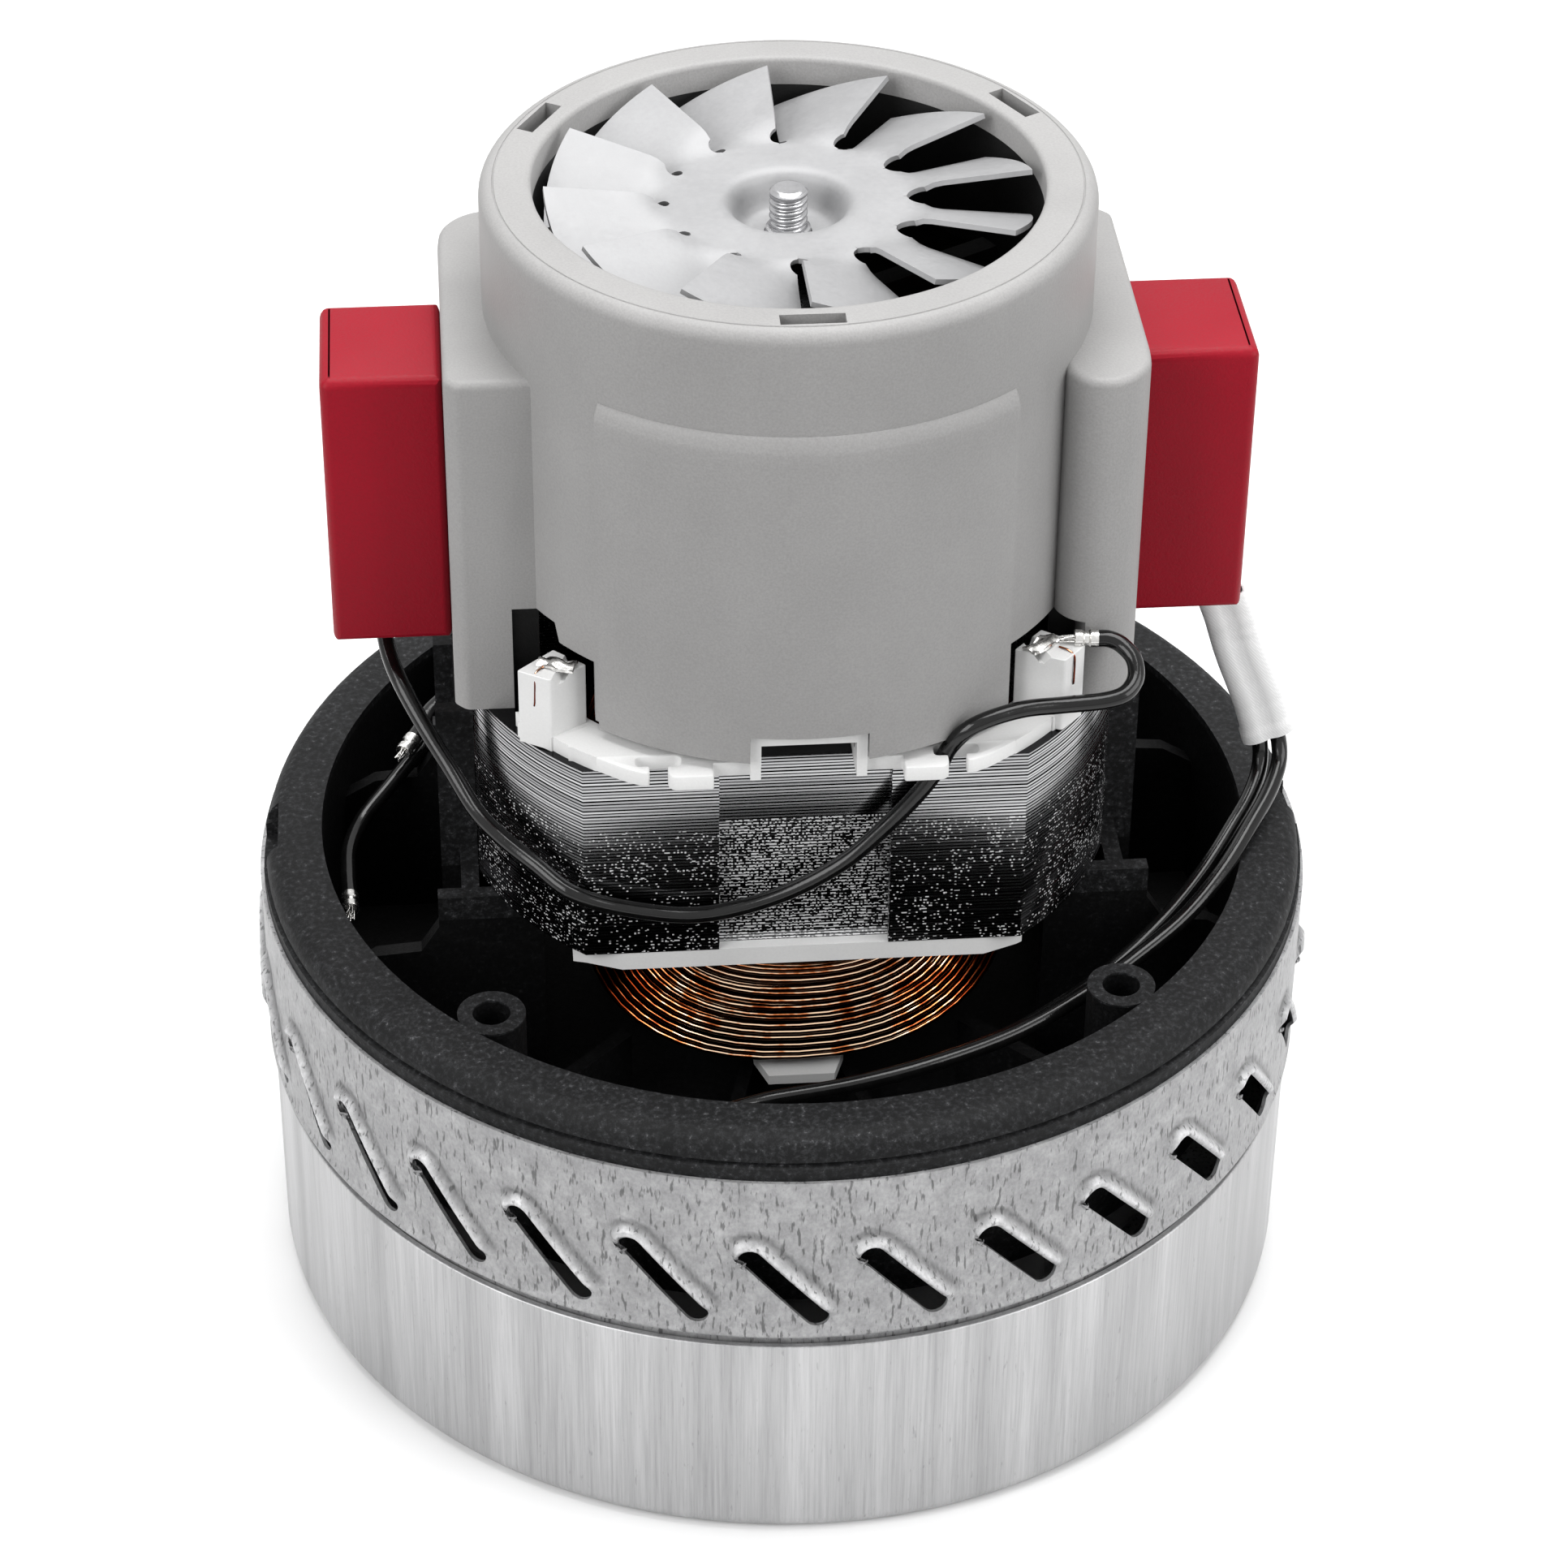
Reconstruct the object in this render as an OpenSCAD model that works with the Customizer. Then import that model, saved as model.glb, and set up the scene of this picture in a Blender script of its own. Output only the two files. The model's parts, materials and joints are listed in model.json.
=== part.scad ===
// Two-stage bypass vacuum motor: a universal motor with its cooling fan stands in the
// moulded bracket, and two aluminium impellers turn in the casing below it.
// The origin is the centre of the air intake, on the can's floor. +Z runs up the shaft.
// The brushes lie along X, and the front, with the wire posts and the hooks, faces -Y.

/* [Intake can] */
// Outer radius of the can
can_r = 72; // [64:0.5:90]
// Height of the can's wall
can_h = 33.4; // [31:0.1:42]
// Sheet thickness of the can
can_t = 1; // [0.8:0.1:1.5]
// Radius of the air intake
intake_r = 19; // [14:0.5:22]
// Height of the rolled lip round the intake
intake_lip = 3.5; // [2:0.1:4]

/* [Louvre shell] */
// Height of the shell above the can
shell_h = 28.5; // [26:0.1:40]
// Sheet thickness of the shell
shell_t = 0.8; // [0.6:0.1:1.2]
// How far the shell's skirt reaches down inside the can
skirt_in = 9; // [6:0.1:12]
// Number of louvre slots
slot_count = 29; // [20:1:30]
// Width of a slot
slot_w = 2.9; // [2:0.1:3.5]
// Length of a slot between the centres of its round ends
slot_l = 13.4; // [10:0.1:15]
// Lean of a slot below the horizontal
slot_lean = 49.4; // [40:0.1:60]
// How far a louvre's hood stands out of the shell
hood_out = 1.3; // [0.8:0.1:2]

/* [Motor bracket] */
// Height of the bracket's rim above the shell
rim_h = 5.9; // [4:0.1:9]
// Width of the rim's top, from its outer edge to the bowl
rim_w = 8.3; // [7:0.1:12]
// Depth of the bowl below the rim's top
bowl_depth = 29.3; // [27:0.1:30]
// Thickness of the bowl's floor
floor_t = 2.5; // [2:0.1:4]
// Thickness of the bowl's wall
bowl_t = 2; // [1.6:0.1:3]
// Outer diameter of a screw boss
boss_d = 9; // [8:0.1:12]
// Diameter of the hole in a screw boss
boss_hole_d = 5; // [3:0.1:6]
// Gap between the bowl's wall and the axis of a boss
boss_inset = 5; // [4.6:0.1:8]

/* [Stator] */
// Radius of the stack's round corners
stack_r = 45; // [43:0.1:48]
// Width of the stack along the brush axis
stack_w = 84.6; // [82:0.1:86]
// Depth of the stack from front to back
stack_d = 69.2; // [66:0.1:74]
// Length of the laminated stack
stack_l = 30; // [24:0.1:40]
// Height of the stack above the bracket's rim
stack_lift = 2.5; // [1:0.1:6]
// Radius of the armature
armature_r = 21.9; // [19:0.1:22.2]
// Air gap between the armature and the pole shoes
air_gap = 0.4; // [0.3:0.05:0.6]
// Width of a pole's neck
neck_w = 26; // [22:0.1:27]

/* [Field coils] */
// Diameter of the bundled coil wire
wire_d = 1.45; // [1.2:0.05:1.5]
// Distance between neighbouring loops
loop_pitch = 2.2; // [2.1:0.05:2.3]
// Distance between the two layers
layer_pitch = 2.2; // [2.1:0.05:2.4]
// Loops in each of the two layers
loops = 7; // [4:1:7]

/* [Commutator cover] */
// Outer radius of the cover
cover_r = 39.2; // [39:0.1:41]
// Wall thickness of the cover
cover_t = 2.2; // [1.8:0.1:2.4]
// Height of the cover
cover_h = 62.6; // [60:0.1:76]
// Radius of the cooling air opening
opening_r = 32.5; // [31.5:0.1:33.5]
// How far the front and rear panels stand out of the cover
panel_out = 0.8; // [0.4:0.1:1.5]
// Half the width of the cover over its ears
ear_x = 44.6; // [43:0.1:48]
// Width of an ear from front to back
ear_w = 40; // [36:0.1:44]

/* [Brushes] */
// Length of the brush box outside the ear
box_l = 15.6; // [12:0.1:20]
// Width of the brush box
box_w = 19.8; // [16:0.1:22]
// Height of the brush box
box_h = 40; // [34:0.1:44]
// Width of a carbon brush
brush_w = 6.4; // [5:0.1:7]
// Height of a carbon brush
brush_h = 11; // [9:0.1:12]
// Length of a carbon brush
brush_l = 28; // [20:0.1:30]
// Radius of the commutator
commutator_r = 12; // [10:0.1:14]

/* [Cooling fan] */
// Radius over the blades
fan_r = 31; // [28:0.1:31.2]
// Number of blades
fan_blades = 12; // [9:1:12]
// Pitch of the blades
blade_pitch = 21; // [10:0.5:24]
// Sheet thickness of the fan
fan_t = 0.9; // [0.7:0.1:1.2]

/* [Impellers] */
// Outer radius of both impellers
impeller_r = 60; // [50:0.5:61]
// Height of an impeller over its two discs
impeller_h = 9.5; // [7:0.1:10]
// Sheet thickness of the impellers
impeller_t = 0.8; // [0.6:0.1:1.2]
// Blades of an impeller
impeller_blades = 9; // [6:1:12]

/* [Shaft and bearings] */
// Radius of the shaft
shaft_r = 4; // [3.5:0.1:5]
// Outer radius of both bearings
bearing_r = 11; // [10:0.1:13]
// Width of both bearings
bearing_w = 7; // [5:0.1:8]

/* [Hidden] */
$fn = 96;

eps = 0.01;
fit = 0.02;              // clearance of a pressed or glued fit
slip = 0.1;              // clearance of a piece that slides in
run_gap = 0.05;          // clearance between the rings of a bearing

shell_r = can_r + 0.4;
shell_top = can_h + shell_h;
bead_z = can_h + 1.6;
skirt_r = can_r - can_t - slip;
slot_z = can_h + 10.85;
slot_first = -156.4;
slot_step = 360 / slot_count;
hood_r = slot_w;

rim_r = can_r - 0.1;
rim_top = shell_top + rim_h;
bowl_r = rim_r - rim_w + 0.1;
floor_z = rim_top - bowl_depth;
plug_r = shell_r - shell_t - run_gap;
boss_c = (bowl_r - boss_inset) * cos(45);
boss_top = rim_top - 0.9;

stack_z0 = rim_top + stack_lift;
stack_z1 = stack_z0 + stack_l;
bore_r = armature_r + air_gap;
shoe_r = bore_r + 4;
shoe_half = 58;
yoke_t = 7.1;
side_yoke_t = 8.3;
screw_x = stack_w / 2 - side_yoke_t / 2;
screw_y = 13;
carrier_y = 20;
arm_top = stack_z1 - 8;

insulator_t = 2.2;
plate_t = 2.8;
guard_t = 0.7;
guard_y = bore_r + 0.05 + guard_t;
flange_r = cover_r + 4.8;
flange_in_r = cover_r - 1.2;
post_mid = (cover_r + 2.8) * [0.769, -0.639];
post_half = [4.4, 3.2];
post_x = [post_mid.x - post_half.x, post_mid.x + post_half.x];
post_top = stack_z1 + 11.2;
post_low = stack_z1 + 9.9;
post_blade = 2.8;
post_blade_t = 1;
frame_x = 7.5;
frame_top = stack_z1 + 7.6;
cover_z0 = stack_z1 + 3.7;
cover_top = cover_z0 + cover_h;
cover_in_r = cover_r - cover_t;
panel_top = cover_z0 + 48;
panel_half = 40.5;
ear_top = cover_z0 + 46;
brush_z = cover_z0 + 20.6;
ear_in_x = 36.9;
box_x1 = ear_x + box_l;
box_neck_x = 37.4;
lead_hole_x = ear_x + 10.8;
lead_top_z = brush_z - 16;
lead_spread = 1.3;       // half the distance between two leads side by side

tube_t = 0.6;
tube_w = brush_w + 2 * slip + 2 * tube_t;
tube_h = brush_h + 2 * slip + 2 * tube_t;
tube_x0 = commutator_r + 3;
tube_x1 = box_x1 - 3;
brush_x0 = commutator_r + run_gap;
brush_x1 = brush_x0 + brush_l;
spring_wire = 0.8;
tab_t = 0.8;

bearing_z0 = floor_z + 1;
upper_bearing_z = cover_top - 25.6;
bridge_z = upper_bearing_z - 1;
inner_ring_r = shaft_r + 2.2;
fan_z = cover_top - 3.8;
fan_dish_z = fan_z - 5;
fan_hub_r = 16.5;
fan_seat_r = shaft_r - 1;
thread_r = 2.4;
shaft_top = cover_top - 1.6;
commutator_h = 14;
commutator_z = brush_z - commutator_h / 2;

first_z = can_t + intake_lip - 0.5;
guide_z = first_z + impeller_h + 1.3;
guide_h = 7;
guide_t = 1;
second_z = guide_z + guide_h + 1.3;
eye_r = intake_r + 1.6;
nut_h = 5;

lead_r = 1.05;

// Routes of the leads, from where they are joined to where they end
post_lead_path = [
    [-53.7, 0, 108.6], [-53.7, 0, 106.6], [-53.7, -0.3, 104.2], [-53.7, -1.9, 101.2],
    [-53, -5, 98.6], [-51.4, -8.8, 96.2], [-48.7, -13, 92.6], [-45.4, -17.4, 88.6],
    [-42.4, -22.4, 85.6], [-39, -27.2, 84.4], [-34.8, -31.8, 83.3], [-30.4, -35.7, 81.6],
    [-24, -36.2, 79.2], [-14.1, -36.2, 77.5], [-4, -36.2, 79.9], [4.5, -36.2, 84.8],
    [10.6, -36.2, 91], [14.6, -36.2, 96], [17, -36, 99.8], [18.4, -36.1, 103], [21.4, -36.5, 106.4],
    [27.2, -35, 107.4], [33, -34, 107.2], [38.2, -33.6, 107.3], [41.1, -32.9, 107.8],
    [42.7, -31.1, 108.9], [42.7, -28.9, 110.4], [41.3, -27.2, 111.5], [39.8, -26.5, 112],
    [38.4, -26.4, 112.1]
];
box_lead_inner_path = [
    [53.7, 0, 108.6], [53.7, 0, 107.2], [54.1, 0, 105.2], [54.8, 0, 103.2], [56.1, 0, 101.1],
    [57.5, 0, 99.1], [58.8, 0, 97.3], [60, 0, 94.5], [61.8, 0, 89.6], [64.1, 0, 83],
    [66.1, 0, 77.1], [66.4, -1.4, 72.6], [64.6, -5.2, 70.2], [61.2, -10.6, 68.7],
    [56.4, -17.4, 66.6], [50.2, -24.2, 64], [43.4, -29.6, 61.2], [37.4, -33.6, 59.4],
    [27.2, -40.6, 58.6], [15.8, -45.4, 58], [5, -48, 57.2], [-5.8, -48.9, 56], [-12, -48, 53.4],
    [-18, -46.6, 49.4], [-25, -43.6, 45.2]
];
box_lead_outer_path = [
    [56.3, 0, 108.6], [56.3, 0, 107.2], [56.5, 0, 106], [57.2, 0, 104.4], [58.3, 0, 102.5],
    [59.7, 0, 100.5], [61, 0, 98.5], [62.4, 0, 95.5], [64.2, 0, 90.4], [66.5, 0, 83.8],
    [68.5, 0, 77.9], [69, -1.8, 73.8], [67.2, -6, 71.6], [63.7, -11.8, 70.1], [58.6, -19.4, 68],
    [52.2, -26.6, 65.8], [44.8, -32, 63.4], [38.2, -36.2, 61.6], [27.8, -42.8, 60.6],
    [16.2, -47.6, 60], [5.2, -50.2, 59.2], [-5.8, -51.1, 58], [-12.6, -50.6, 55.2],
    [-19.4, -49.8, 51], [-27, -47.2, 46.6]
];
rear_lead_path = [
    [-26, 31, 66.2], [-33, 31.4, 66.2], [-40, 30, 65.8], [-46.6, 26.4, 64.8], [-51, 20.6, 63.6],
    [-54.8, 15.6, 62], [-58.4, 10.4, 60.6], [-60.2, 4.4, 60.2], [-60.4, -1, 60],
    [-60.2, -6.2, 60]
];
short_lead_path = [
    [-20, 33.2, 66.2], [-28, 33.8, 66.6], [-36, 34, 67.6], [-43.4, 31, 68.4], [-48, 26.2, 68.2],
    [-49.8, 22.2, 67.6], [-50.9, 20, 67.4]
];

// Points of an arc round [cx, cy]
function arc(cx, cy, r, a0, a1, n) =
    [for (i = [0:n]) [cx + r * cos(a0 + (a1 - a0) * i / n), cy + r * sin(a0 + (a1 - a0) * i / n)]];

function unit(v) = v / norm(v);

// Point at u, from 0 to 1, on the smooth curve between b and c
function smooth_point(a, b, c, d, u) =
    0.5 * (2 * b + (c - a) * u + (2 * a - 5 * b + 4 * c - d) * u * u
    + (3 * b - a - 3 * c + d) * u * u * u);

// A route with two rings for each of its points
function smooth_route(p) = [
    for (i = [0:len(p) - 2], j = [0:1])
        smooth_point(p[max(i - 1, 0)], p[i], p[i + 1], p[min(i + 2, len(p) - 1)], j / 2),
    p[len(p) - 1]
];

function route_dir(p, i) = unit(p[min(i + 1, len(p) - 1)] - p[max(i - 1, 0)]);

// The next ring's side direction, turned as little as the route allows
function carried(n, t) = unit(n - t * (n * t));

// A tube swept along the points p. first is a side direction at its start.
module swept_tube(p, r, sides, first) {
    normals = [
        for (i = 0, n = carried(first, route_dir(p, 0)); i < len(p);
            i = i + 1, n = i < len(p) ? carried(n, route_dir(p, i)) : n) n
    ];
    rings = [
        for (i = [0:len(p) - 1], k = [0:sides - 1])
            p[i] + r * (cos(360 * k / sides) * normals[i]
            + sin(360 * k / sides) * cross(route_dir(p, i), normals[i]))
    ];
    last = (len(p) - 1) * sides;
    walls = [
        for (i = [0:len(p) - 2], k = [0:sides - 1], h = [0:1])
            let (a = i * sides + k, b = i * sides + (k + 1) % sides)
            h == 0 ? [a, a + sides, b] : [b, a + sides, b + sides]
    ];
    caps = [
        for (k = [1:sides - 2], h = [0:1])
            h == 0 ? [0, k, k + 1] : [last, last + k + 1, last + k]
    ];
    polyhedron(points = rings, faces = concat(walls, caps), convexity = 10);
}

module lead(path) {
    color([0.08, 0.08, 0.09]) swept_tube(smooth_route(path), lead_r, 8, [0.2, 1, 0.1]);
}

// A ring with a square section
module ring(ro, ri, z0, z1) {
    rotate_extrude() translate([ri, z0]) square([ro - ri, z1 - z0]);
}

// A block with rounded edges all round
module rounded_block(size, r) {
    intersection() {
        linear_extrude(size.z, center = true) rounded_rect(size.x, size.y, r);
        rotate([90, 0, 0]) linear_extrude(size.y, center = true) rounded_rect(size.x, size.z, r);
        rotate([90, 0, 90]) linear_extrude(size.x, center = true) rounded_rect(size.y, size.z, r);
    }
}

module rounded_rect(w, h, r) {
    square([w - 2 * r, h], center = true);
    square([w, h - 2 * r], center = true);
    for (x = [-1, 1], y = [-1, 1]) translate([x * (w / 2 - r), y * (h / 2 - r)]) circle(r, $fn = 32);
}

// One curved vane from radius r0 to r1, turned back by sweep degrees on its way out
module vane(r0, r1, sweep, t) {
    n = 10;
    function at(u, side) =
        let (r = r0 + (r1 - r0) * u, a = sweep * pow(u, 0.8) + side * t / 2 / r * 57.3)
        [r * cos(a), r * sin(a)];
    polygon(concat([for (i = [0:n]) at(i / n, -1)], [for (i = [n:-1:0]) at(i / n, 1)]));
}

module intake_can() {
    corner = 2.2;
    color([0.75, 0.76, 0.77]) rotate_extrude() polygon(concat(
        [[intake_r, 0]],
        arc(can_r - corner, corner, corner, -90, 0, 6),
        [[can_r, can_h], [can_r - can_t, can_h]],
        arc(can_r - corner, corner, corner - can_t, 0, -90, 6),
        [[intake_r + can_t, can_t], [intake_r + can_t, intake_lip], [intake_r, intake_lip]]));
}

// A bar with round ends that lies across a slot, through the shell
module slot_bar(w, depth) {
    cube([depth, slot_l, w], center = true);
    for (s = [-1, 1]) translate([0, s * slot_l / 2, 0]) rotate([0, 90, 0])
        cylinder(h = depth, r = w / 2, center = true, $fn = 24);
}

// The capsule that raises a hood over a slot
module hood_capsule(r) {
    translate([shell_r + hood_out - hood_r, 0, slot_w * 0.32]) rotate([90, 0, 0])
        rotate_extrude($fn = 24) intersection() {
            union() {
                square([2 * r, slot_l], center = true);
                for (s = [-1, 1]) translate([0, s * slot_l / 2]) circle(r, $fn = 24);
            }
            translate([0, -slot_l]) square([2 * r, 2 * slot_l]);
        }
}

module at_slots() {
    for (i = [0:slot_count - 1]) rotate([0, 0, slot_first + i * slot_step])
        translate([0, 0, slot_z]) rotate([-slot_lean, 0, 0]) children();
}

module louvre_shell() {
    color([0.70, 0.72, 0.73]) difference() {
        union() {
            rotate_extrude() polygon([
                [shell_r, shell_top], [shell_r - shell_t, shell_top], [shell_r - shell_t, bead_z + 1.4],
                [skirt_r - shell_t, bead_z - 1], [skirt_r - shell_t, can_h - skirt_in],
                [skirt_r, can_h - skirt_in], [skirt_r, bead_z - 1.2], [shell_r, bead_z + 1]
            ]);
            at_slots() hood_capsule(hood_r);
        }
        at_slots() hood_capsule(hood_r - shell_t);
        at_slots() translate([shell_r, 0, 0]) slot_bar(slot_w, 12);
        cylinder(h = shell_top, r = skirt_r - shell_t - eps);
        translate([0, 0, bead_z + 1.4]) cylinder(h = shell_h, r = shell_r - shell_t);
    }
}

// The fixed guide that leads the first stage's air back to the second stage's eye
module stage_guide() {
    rim_in = skirt_r - 1;
    color([0.62, 0.64, 0.66]) {
        ring(impeller_r + 3, shaft_r + 3, guide_z, guide_z + guide_t);
        ring(skirt_r, eye_r, guide_z + guide_h - guide_t, guide_z + guide_h);
        ring(skirt_r, rim_in, guide_z, guide_z + guide_h);
        ring(skirt_r, rim_in, guide_z + guide_h, can_h - skirt_in);
        for (i = [0:11]) rotate([0, 0, 30 * i]) translate([0, 0, guide_z + guide_t - eps])
            linear_extrude(guide_h - 2 * guide_t + 2 * eps) vane(eye_r + 2, impeller_r + 2, -48, 1.2);
    }
}

// Everything of the bracket that is round about the shaft
module bracket_bowl() {
    rotate_extrude() polygon(concat(
        [[bowl_r, rim_top]],
        arc(rim_r - 3.6, rim_top - 3.2, 3.2, 90, 0, 5),
        [[rim_r - 0.9, shell_top + 2.6], [rim_r - 0.9, shell_top + 2.2], [rim_r, shell_top + 1.9],
        [rim_r, shell_top], [plug_r, shell_top], [plug_r, shell_top - 4.5],
        [bowl_r + bowl_t, shell_top - 4.5], [bowl_r + bowl_t, floor_z - floor_t],
        [shaft_r + 2.5, floor_z - floor_t], [shaft_r + 2.5, bearing_z0], [bearing_r, bearing_z0],
        [bearing_r, bearing_z0 + bearing_w], [bearing_r + 3.2, bearing_z0 + bearing_w],
        [bearing_r + 4, floor_z], [bowl_r, floor_z]]));
}

// A wing that carries one corner of the stack and braces the bowl's wall
module carrier_wing() {
    top_x = stack_w / 2 + 5.7;
    wall_x = sqrt(pow(bowl_r + 1, 2) - pow(carrier_y, 2));
    translate([0, carrier_y + 1.1, 0]) rotate([90, 0, 0]) linear_extrude(2.2) polygon([
        [34, floor_z - eps], [34, stack_z0], [top_x, stack_z0], [top_x, stack_z0 - 4.8],
        [top_x + 2.5, stack_z0 - 8.8], [top_x + 8.5, stack_z0 - 9.3], [wall_x, stack_z0 - 12.3],
        [wall_x, floor_z - eps]
    ]);
}

// One of the two arms that hold the stack between them
module stack_arm() {
    arm_x = stack_w / 2 + slip;
    translate([arm_x, -carrier_y, floor_z - eps]) cube([2.4, 2 * carrier_y, stack_z0 - floor_z]);
    translate([arm_x, -9, stack_z0 - 1]) cube([2.4, 18, arm_top - stack_z0 + 1]);
    for (y = [-9, 6.8]) translate([arm_x, y, stack_z0 - 12]) cube([5, 2.2, arm_top - stack_z0 + 12]);
}

module motor_bracket() {
    color([0.10, 0.10, 0.11]) difference() {
        union() {
            bracket_bowl();
            for (a = [0, 180]) rotate([0, 0, a]) {
                stack_arm();
                carrier_wing();
                mirror([0, 1, 0]) carrier_wing();
            }
            for (sx = [-1, 1], sy = [-1, 1]) translate([sx * boss_c, sy * boss_c, floor_z - eps]) {
                cylinder(h = boss_top - floor_z + eps, d = boss_d);
                rotate([0, 0, atan2(sy, sx)]) {
                    translate([0, -1.5, 0]) cube([boss_inset + 1, 3, boss_top - floor_z - 5]);
                    translate([-26, -1, 0]) cube([26, 2, 9]);
                }
            }
            for (a = [75, 90, 105, 255, 270, 285]) rotate([0, 0, a])
                translate([bearing_r + 3, -0.9, floor_z - eps]) cube([bowl_r - bearing_r - 2.6, 1.8, 3.5]);
        }
        for (sx = [-1, 1], sy = [-1, 1]) translate([sx * boss_c, sy * boss_c, boss_top - 20])
            cylinder(h = 20 + eps, d = boss_hole_d);
        for (a = [0, 180]) rotate([0, 0, a]) translate([rim_r - 2.2, a == 0 ? -4 : -6, shell_top + eps])
            cube([4, 10, rim_h + 1]);
    }
}

// The outline of a lamination, without its openings
module stack_outline() {
    difference() {
        intersection() {
            circle(stack_r);
            square([stack_w, stack_d], center = true);
        }
        for (s = [-1, 1]) translate([0, s * stack_d / 2]) square([22.4, 3.4], center = true);
    }
}

module pole_shoes() {
    for (a = [-90, 90]) rotate([0, 0, a]) intersection() {
        difference() {
            circle(shoe_r);
            circle(bore_r - 1);
        }
        polygon([[0, 0], [60 * cos(shoe_half), -60 * sin(shoe_half)], [60, -60], [60, 60],
            [60 * cos(shoe_half), 60 * sin(shoe_half)]]);
    }
}

module stator_core() {
    color([0.55, 0.56, 0.58]) translate([0, 0, stack_z0]) linear_extrude(stack_l) difference() {
        stack_outline();
        difference() {
            square([stack_w - 2 * side_yoke_t, stack_d - 2 * yoke_t], center = true);
            square([neck_w, stack_d], center = true);
            pole_shoes();
        }
        circle(bore_r);
        for (x = [-1, 1], y = [-1, 1]) translate([x * screw_x, y * screw_y]) circle(2.1, $fn = 32);
    }
}

// Front half of an insulator's lining: the pole's end face, its neck and the ring round the bore
module pole_lining(depth) {
    difference() {
        union() {
            circle(shoe_r - 0.3);
            translate([-neck_w / 2, -stack_d / 2 + yoke_t - 1]) square([neck_w, stack_d - 2 * yoke_t + 2]);
        }
        circle(bore_r + 0.4);
    }
    for (s = [0, 180]) rotate([0, 0, s]) polygon([
        [-30.4, -stack_d / 2 + yoke_t], [-30.4, -32.2], [-28.6, -32.7], [-24, -depth], [24, -depth],
        [28.6, -32.7], [29.4, -32.2], [29.4, -stack_d / 2 + yoke_t]
    ]);
}

// The wall that keeps a coil's end off the armature
module coil_guard(z0, z1) {
    translate([-neck_w / 2, -guard_y, z0]) cube([neck_w, guard_t, z1 - z0]);
}

module lower_insulator() {
    tongue_z = stack_z0 - 26.7;
    color([0.95, 0.95, 0.95]) {
        translate([0, 0, stack_z0 - plate_t]) linear_extrude(plate_t) pole_lining(stack_d / 2 - 0.1);
        for (a = [0, 180]) rotate([0, 0, a]) {
            coil_guard(stack_z0 - 9, stack_z0 - plate_t + eps);
            translate([-5, -guard_y, tongue_z]) cube([10, guard_t, stack_z0 - 8 - tongue_z]);
            translate([0, 0, tongue_z]) linear_extrude(1.5)
                polygon([[-5.9, guard_t - guard_y], [-5.9, -26.5], [-4.2, -31], [4.8, -31], [6.4, -26.5],
                [6.4, guard_t - guard_y]]);
        }
    }
}

// The upper flange's cut-outs beside one hook: its mouth and the T-shaped slot
module hook_gap(s) {
    translate([s * 19.05 - 1.15, -flange_r - 1]) square([2.3, 9]);
    translate([s * 19 - 5.2, -37.15]) square([10.4, 2.35]);
}

module upper_flange() {
    difference() {
        intersection() {
            difference() {
                circle(flange_r);
                circle(flange_in_r);
            }
            translate([-36.9, -flange_r - 1]) square([73.8, flange_r - 23]);
        }
        for (s = [-1, 1]) hook_gap(s);
        translate([-12.3, -flange_r - 1]) square([24.6, 5.6]);
        translate([-frame_x + 1.4, -flange_r]) square([2 * frame_x - 2.8, 12]);
    }
}

// The right-hand wire post, turned cornerwise to the front, with a notch in its front corner
// and a lower side that the lead's barrel passes over
module wire_post() {
    slot = [post_blade + 2 * slip, post_blade_t + 2 * slip];
    difference() {
        translate([post_mid.x, post_mid.y, stack_z1]) linear_extrude(post_top - stack_z1)
            polygon([[-post_half.x, -1], [0.2, -post_half.y], [post_half.x, 0.5],
                [-0.2, post_half.y + 0.2]]);
        translate([post_mid.x, post_mid.y - 0.7, post_top + 0.1]) rotate([90, 0, 0])
            linear_extrude(5) polygon([[-2.6, 0], [2.6, 0], [0.6, -1.7], [-0.6, -1.7]]);
        translate([post_mid.x + 2.2, post_mid.y - 10, post_low]) cube([10, 20, 5]);
        translate([post_mid.x - slot.x / 2, post_mid.y - slot.y / 2, post_top - 6]) cube([slot.x, slot.y, 7]);
    }
}

module upper_insulator() {
    color([0.96, 0.96, 0.96]) for (a = [0, 180]) rotate([0, 0, a]) {
        translate([0, 0, stack_z1]) linear_extrude(insulator_t) {
            upper_flange();
            translate([-12, -flange_in_r - 0.5]) square([24, flange_in_r - stack_d / 2 + yoke_t + 1.5]);
            intersection() {
                pole_lining(stack_d / 2 - 0.1);
                translate([-50, -50]) square([100, 50]);
            }
        }
        coil_guard(stack_z1 + insulator_t - eps, stack_z1 + 8);
        difference() {
            translate([-frame_x, -38.4, stack_z1]) cube([2 * frame_x, 2.6, frame_top - stack_z1]);
            translate([-frame_x + 1.4, -40, stack_z1 - 1]) cube([2 * frame_x - 2.8, 6, 6.5]);
        }
        wire_post();
        mirror([1, 0, 0]) wire_post();
    }
}

// Where the coil's wire is after i of its rings, 24 to a loop: the first layer winds inwards,
// the wire climbs through half a loop, and the second layer winds outwards again
coil_rings = 24;
coil_in = coil_rings * (loops - 1);
coil_last = 2 * coil_in + 12;
coil_w0 = neck_w / 2 + 0.4 + wire_d / 2;
coil_z0 = stack_z0 - 2.3;
coil_z1 = stack_z1 + 1.9;
coil_top_h = 4.8;
coil_lean = 3.4;
coil_top_pitch = 0.87;
coil_y = stack_d / 2 - yoke_t - 0.7 - wire_d / 2;

function coil_grow(i) =
    loop_pitch * (i < coil_in ? coil_in - i : max(i - coil_in - 12, 0)) / coil_rings;
function coil_depth(i) =
    coil_y - layer_pitch * min(max((i - coil_in) / 12, 0), 1);
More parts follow.
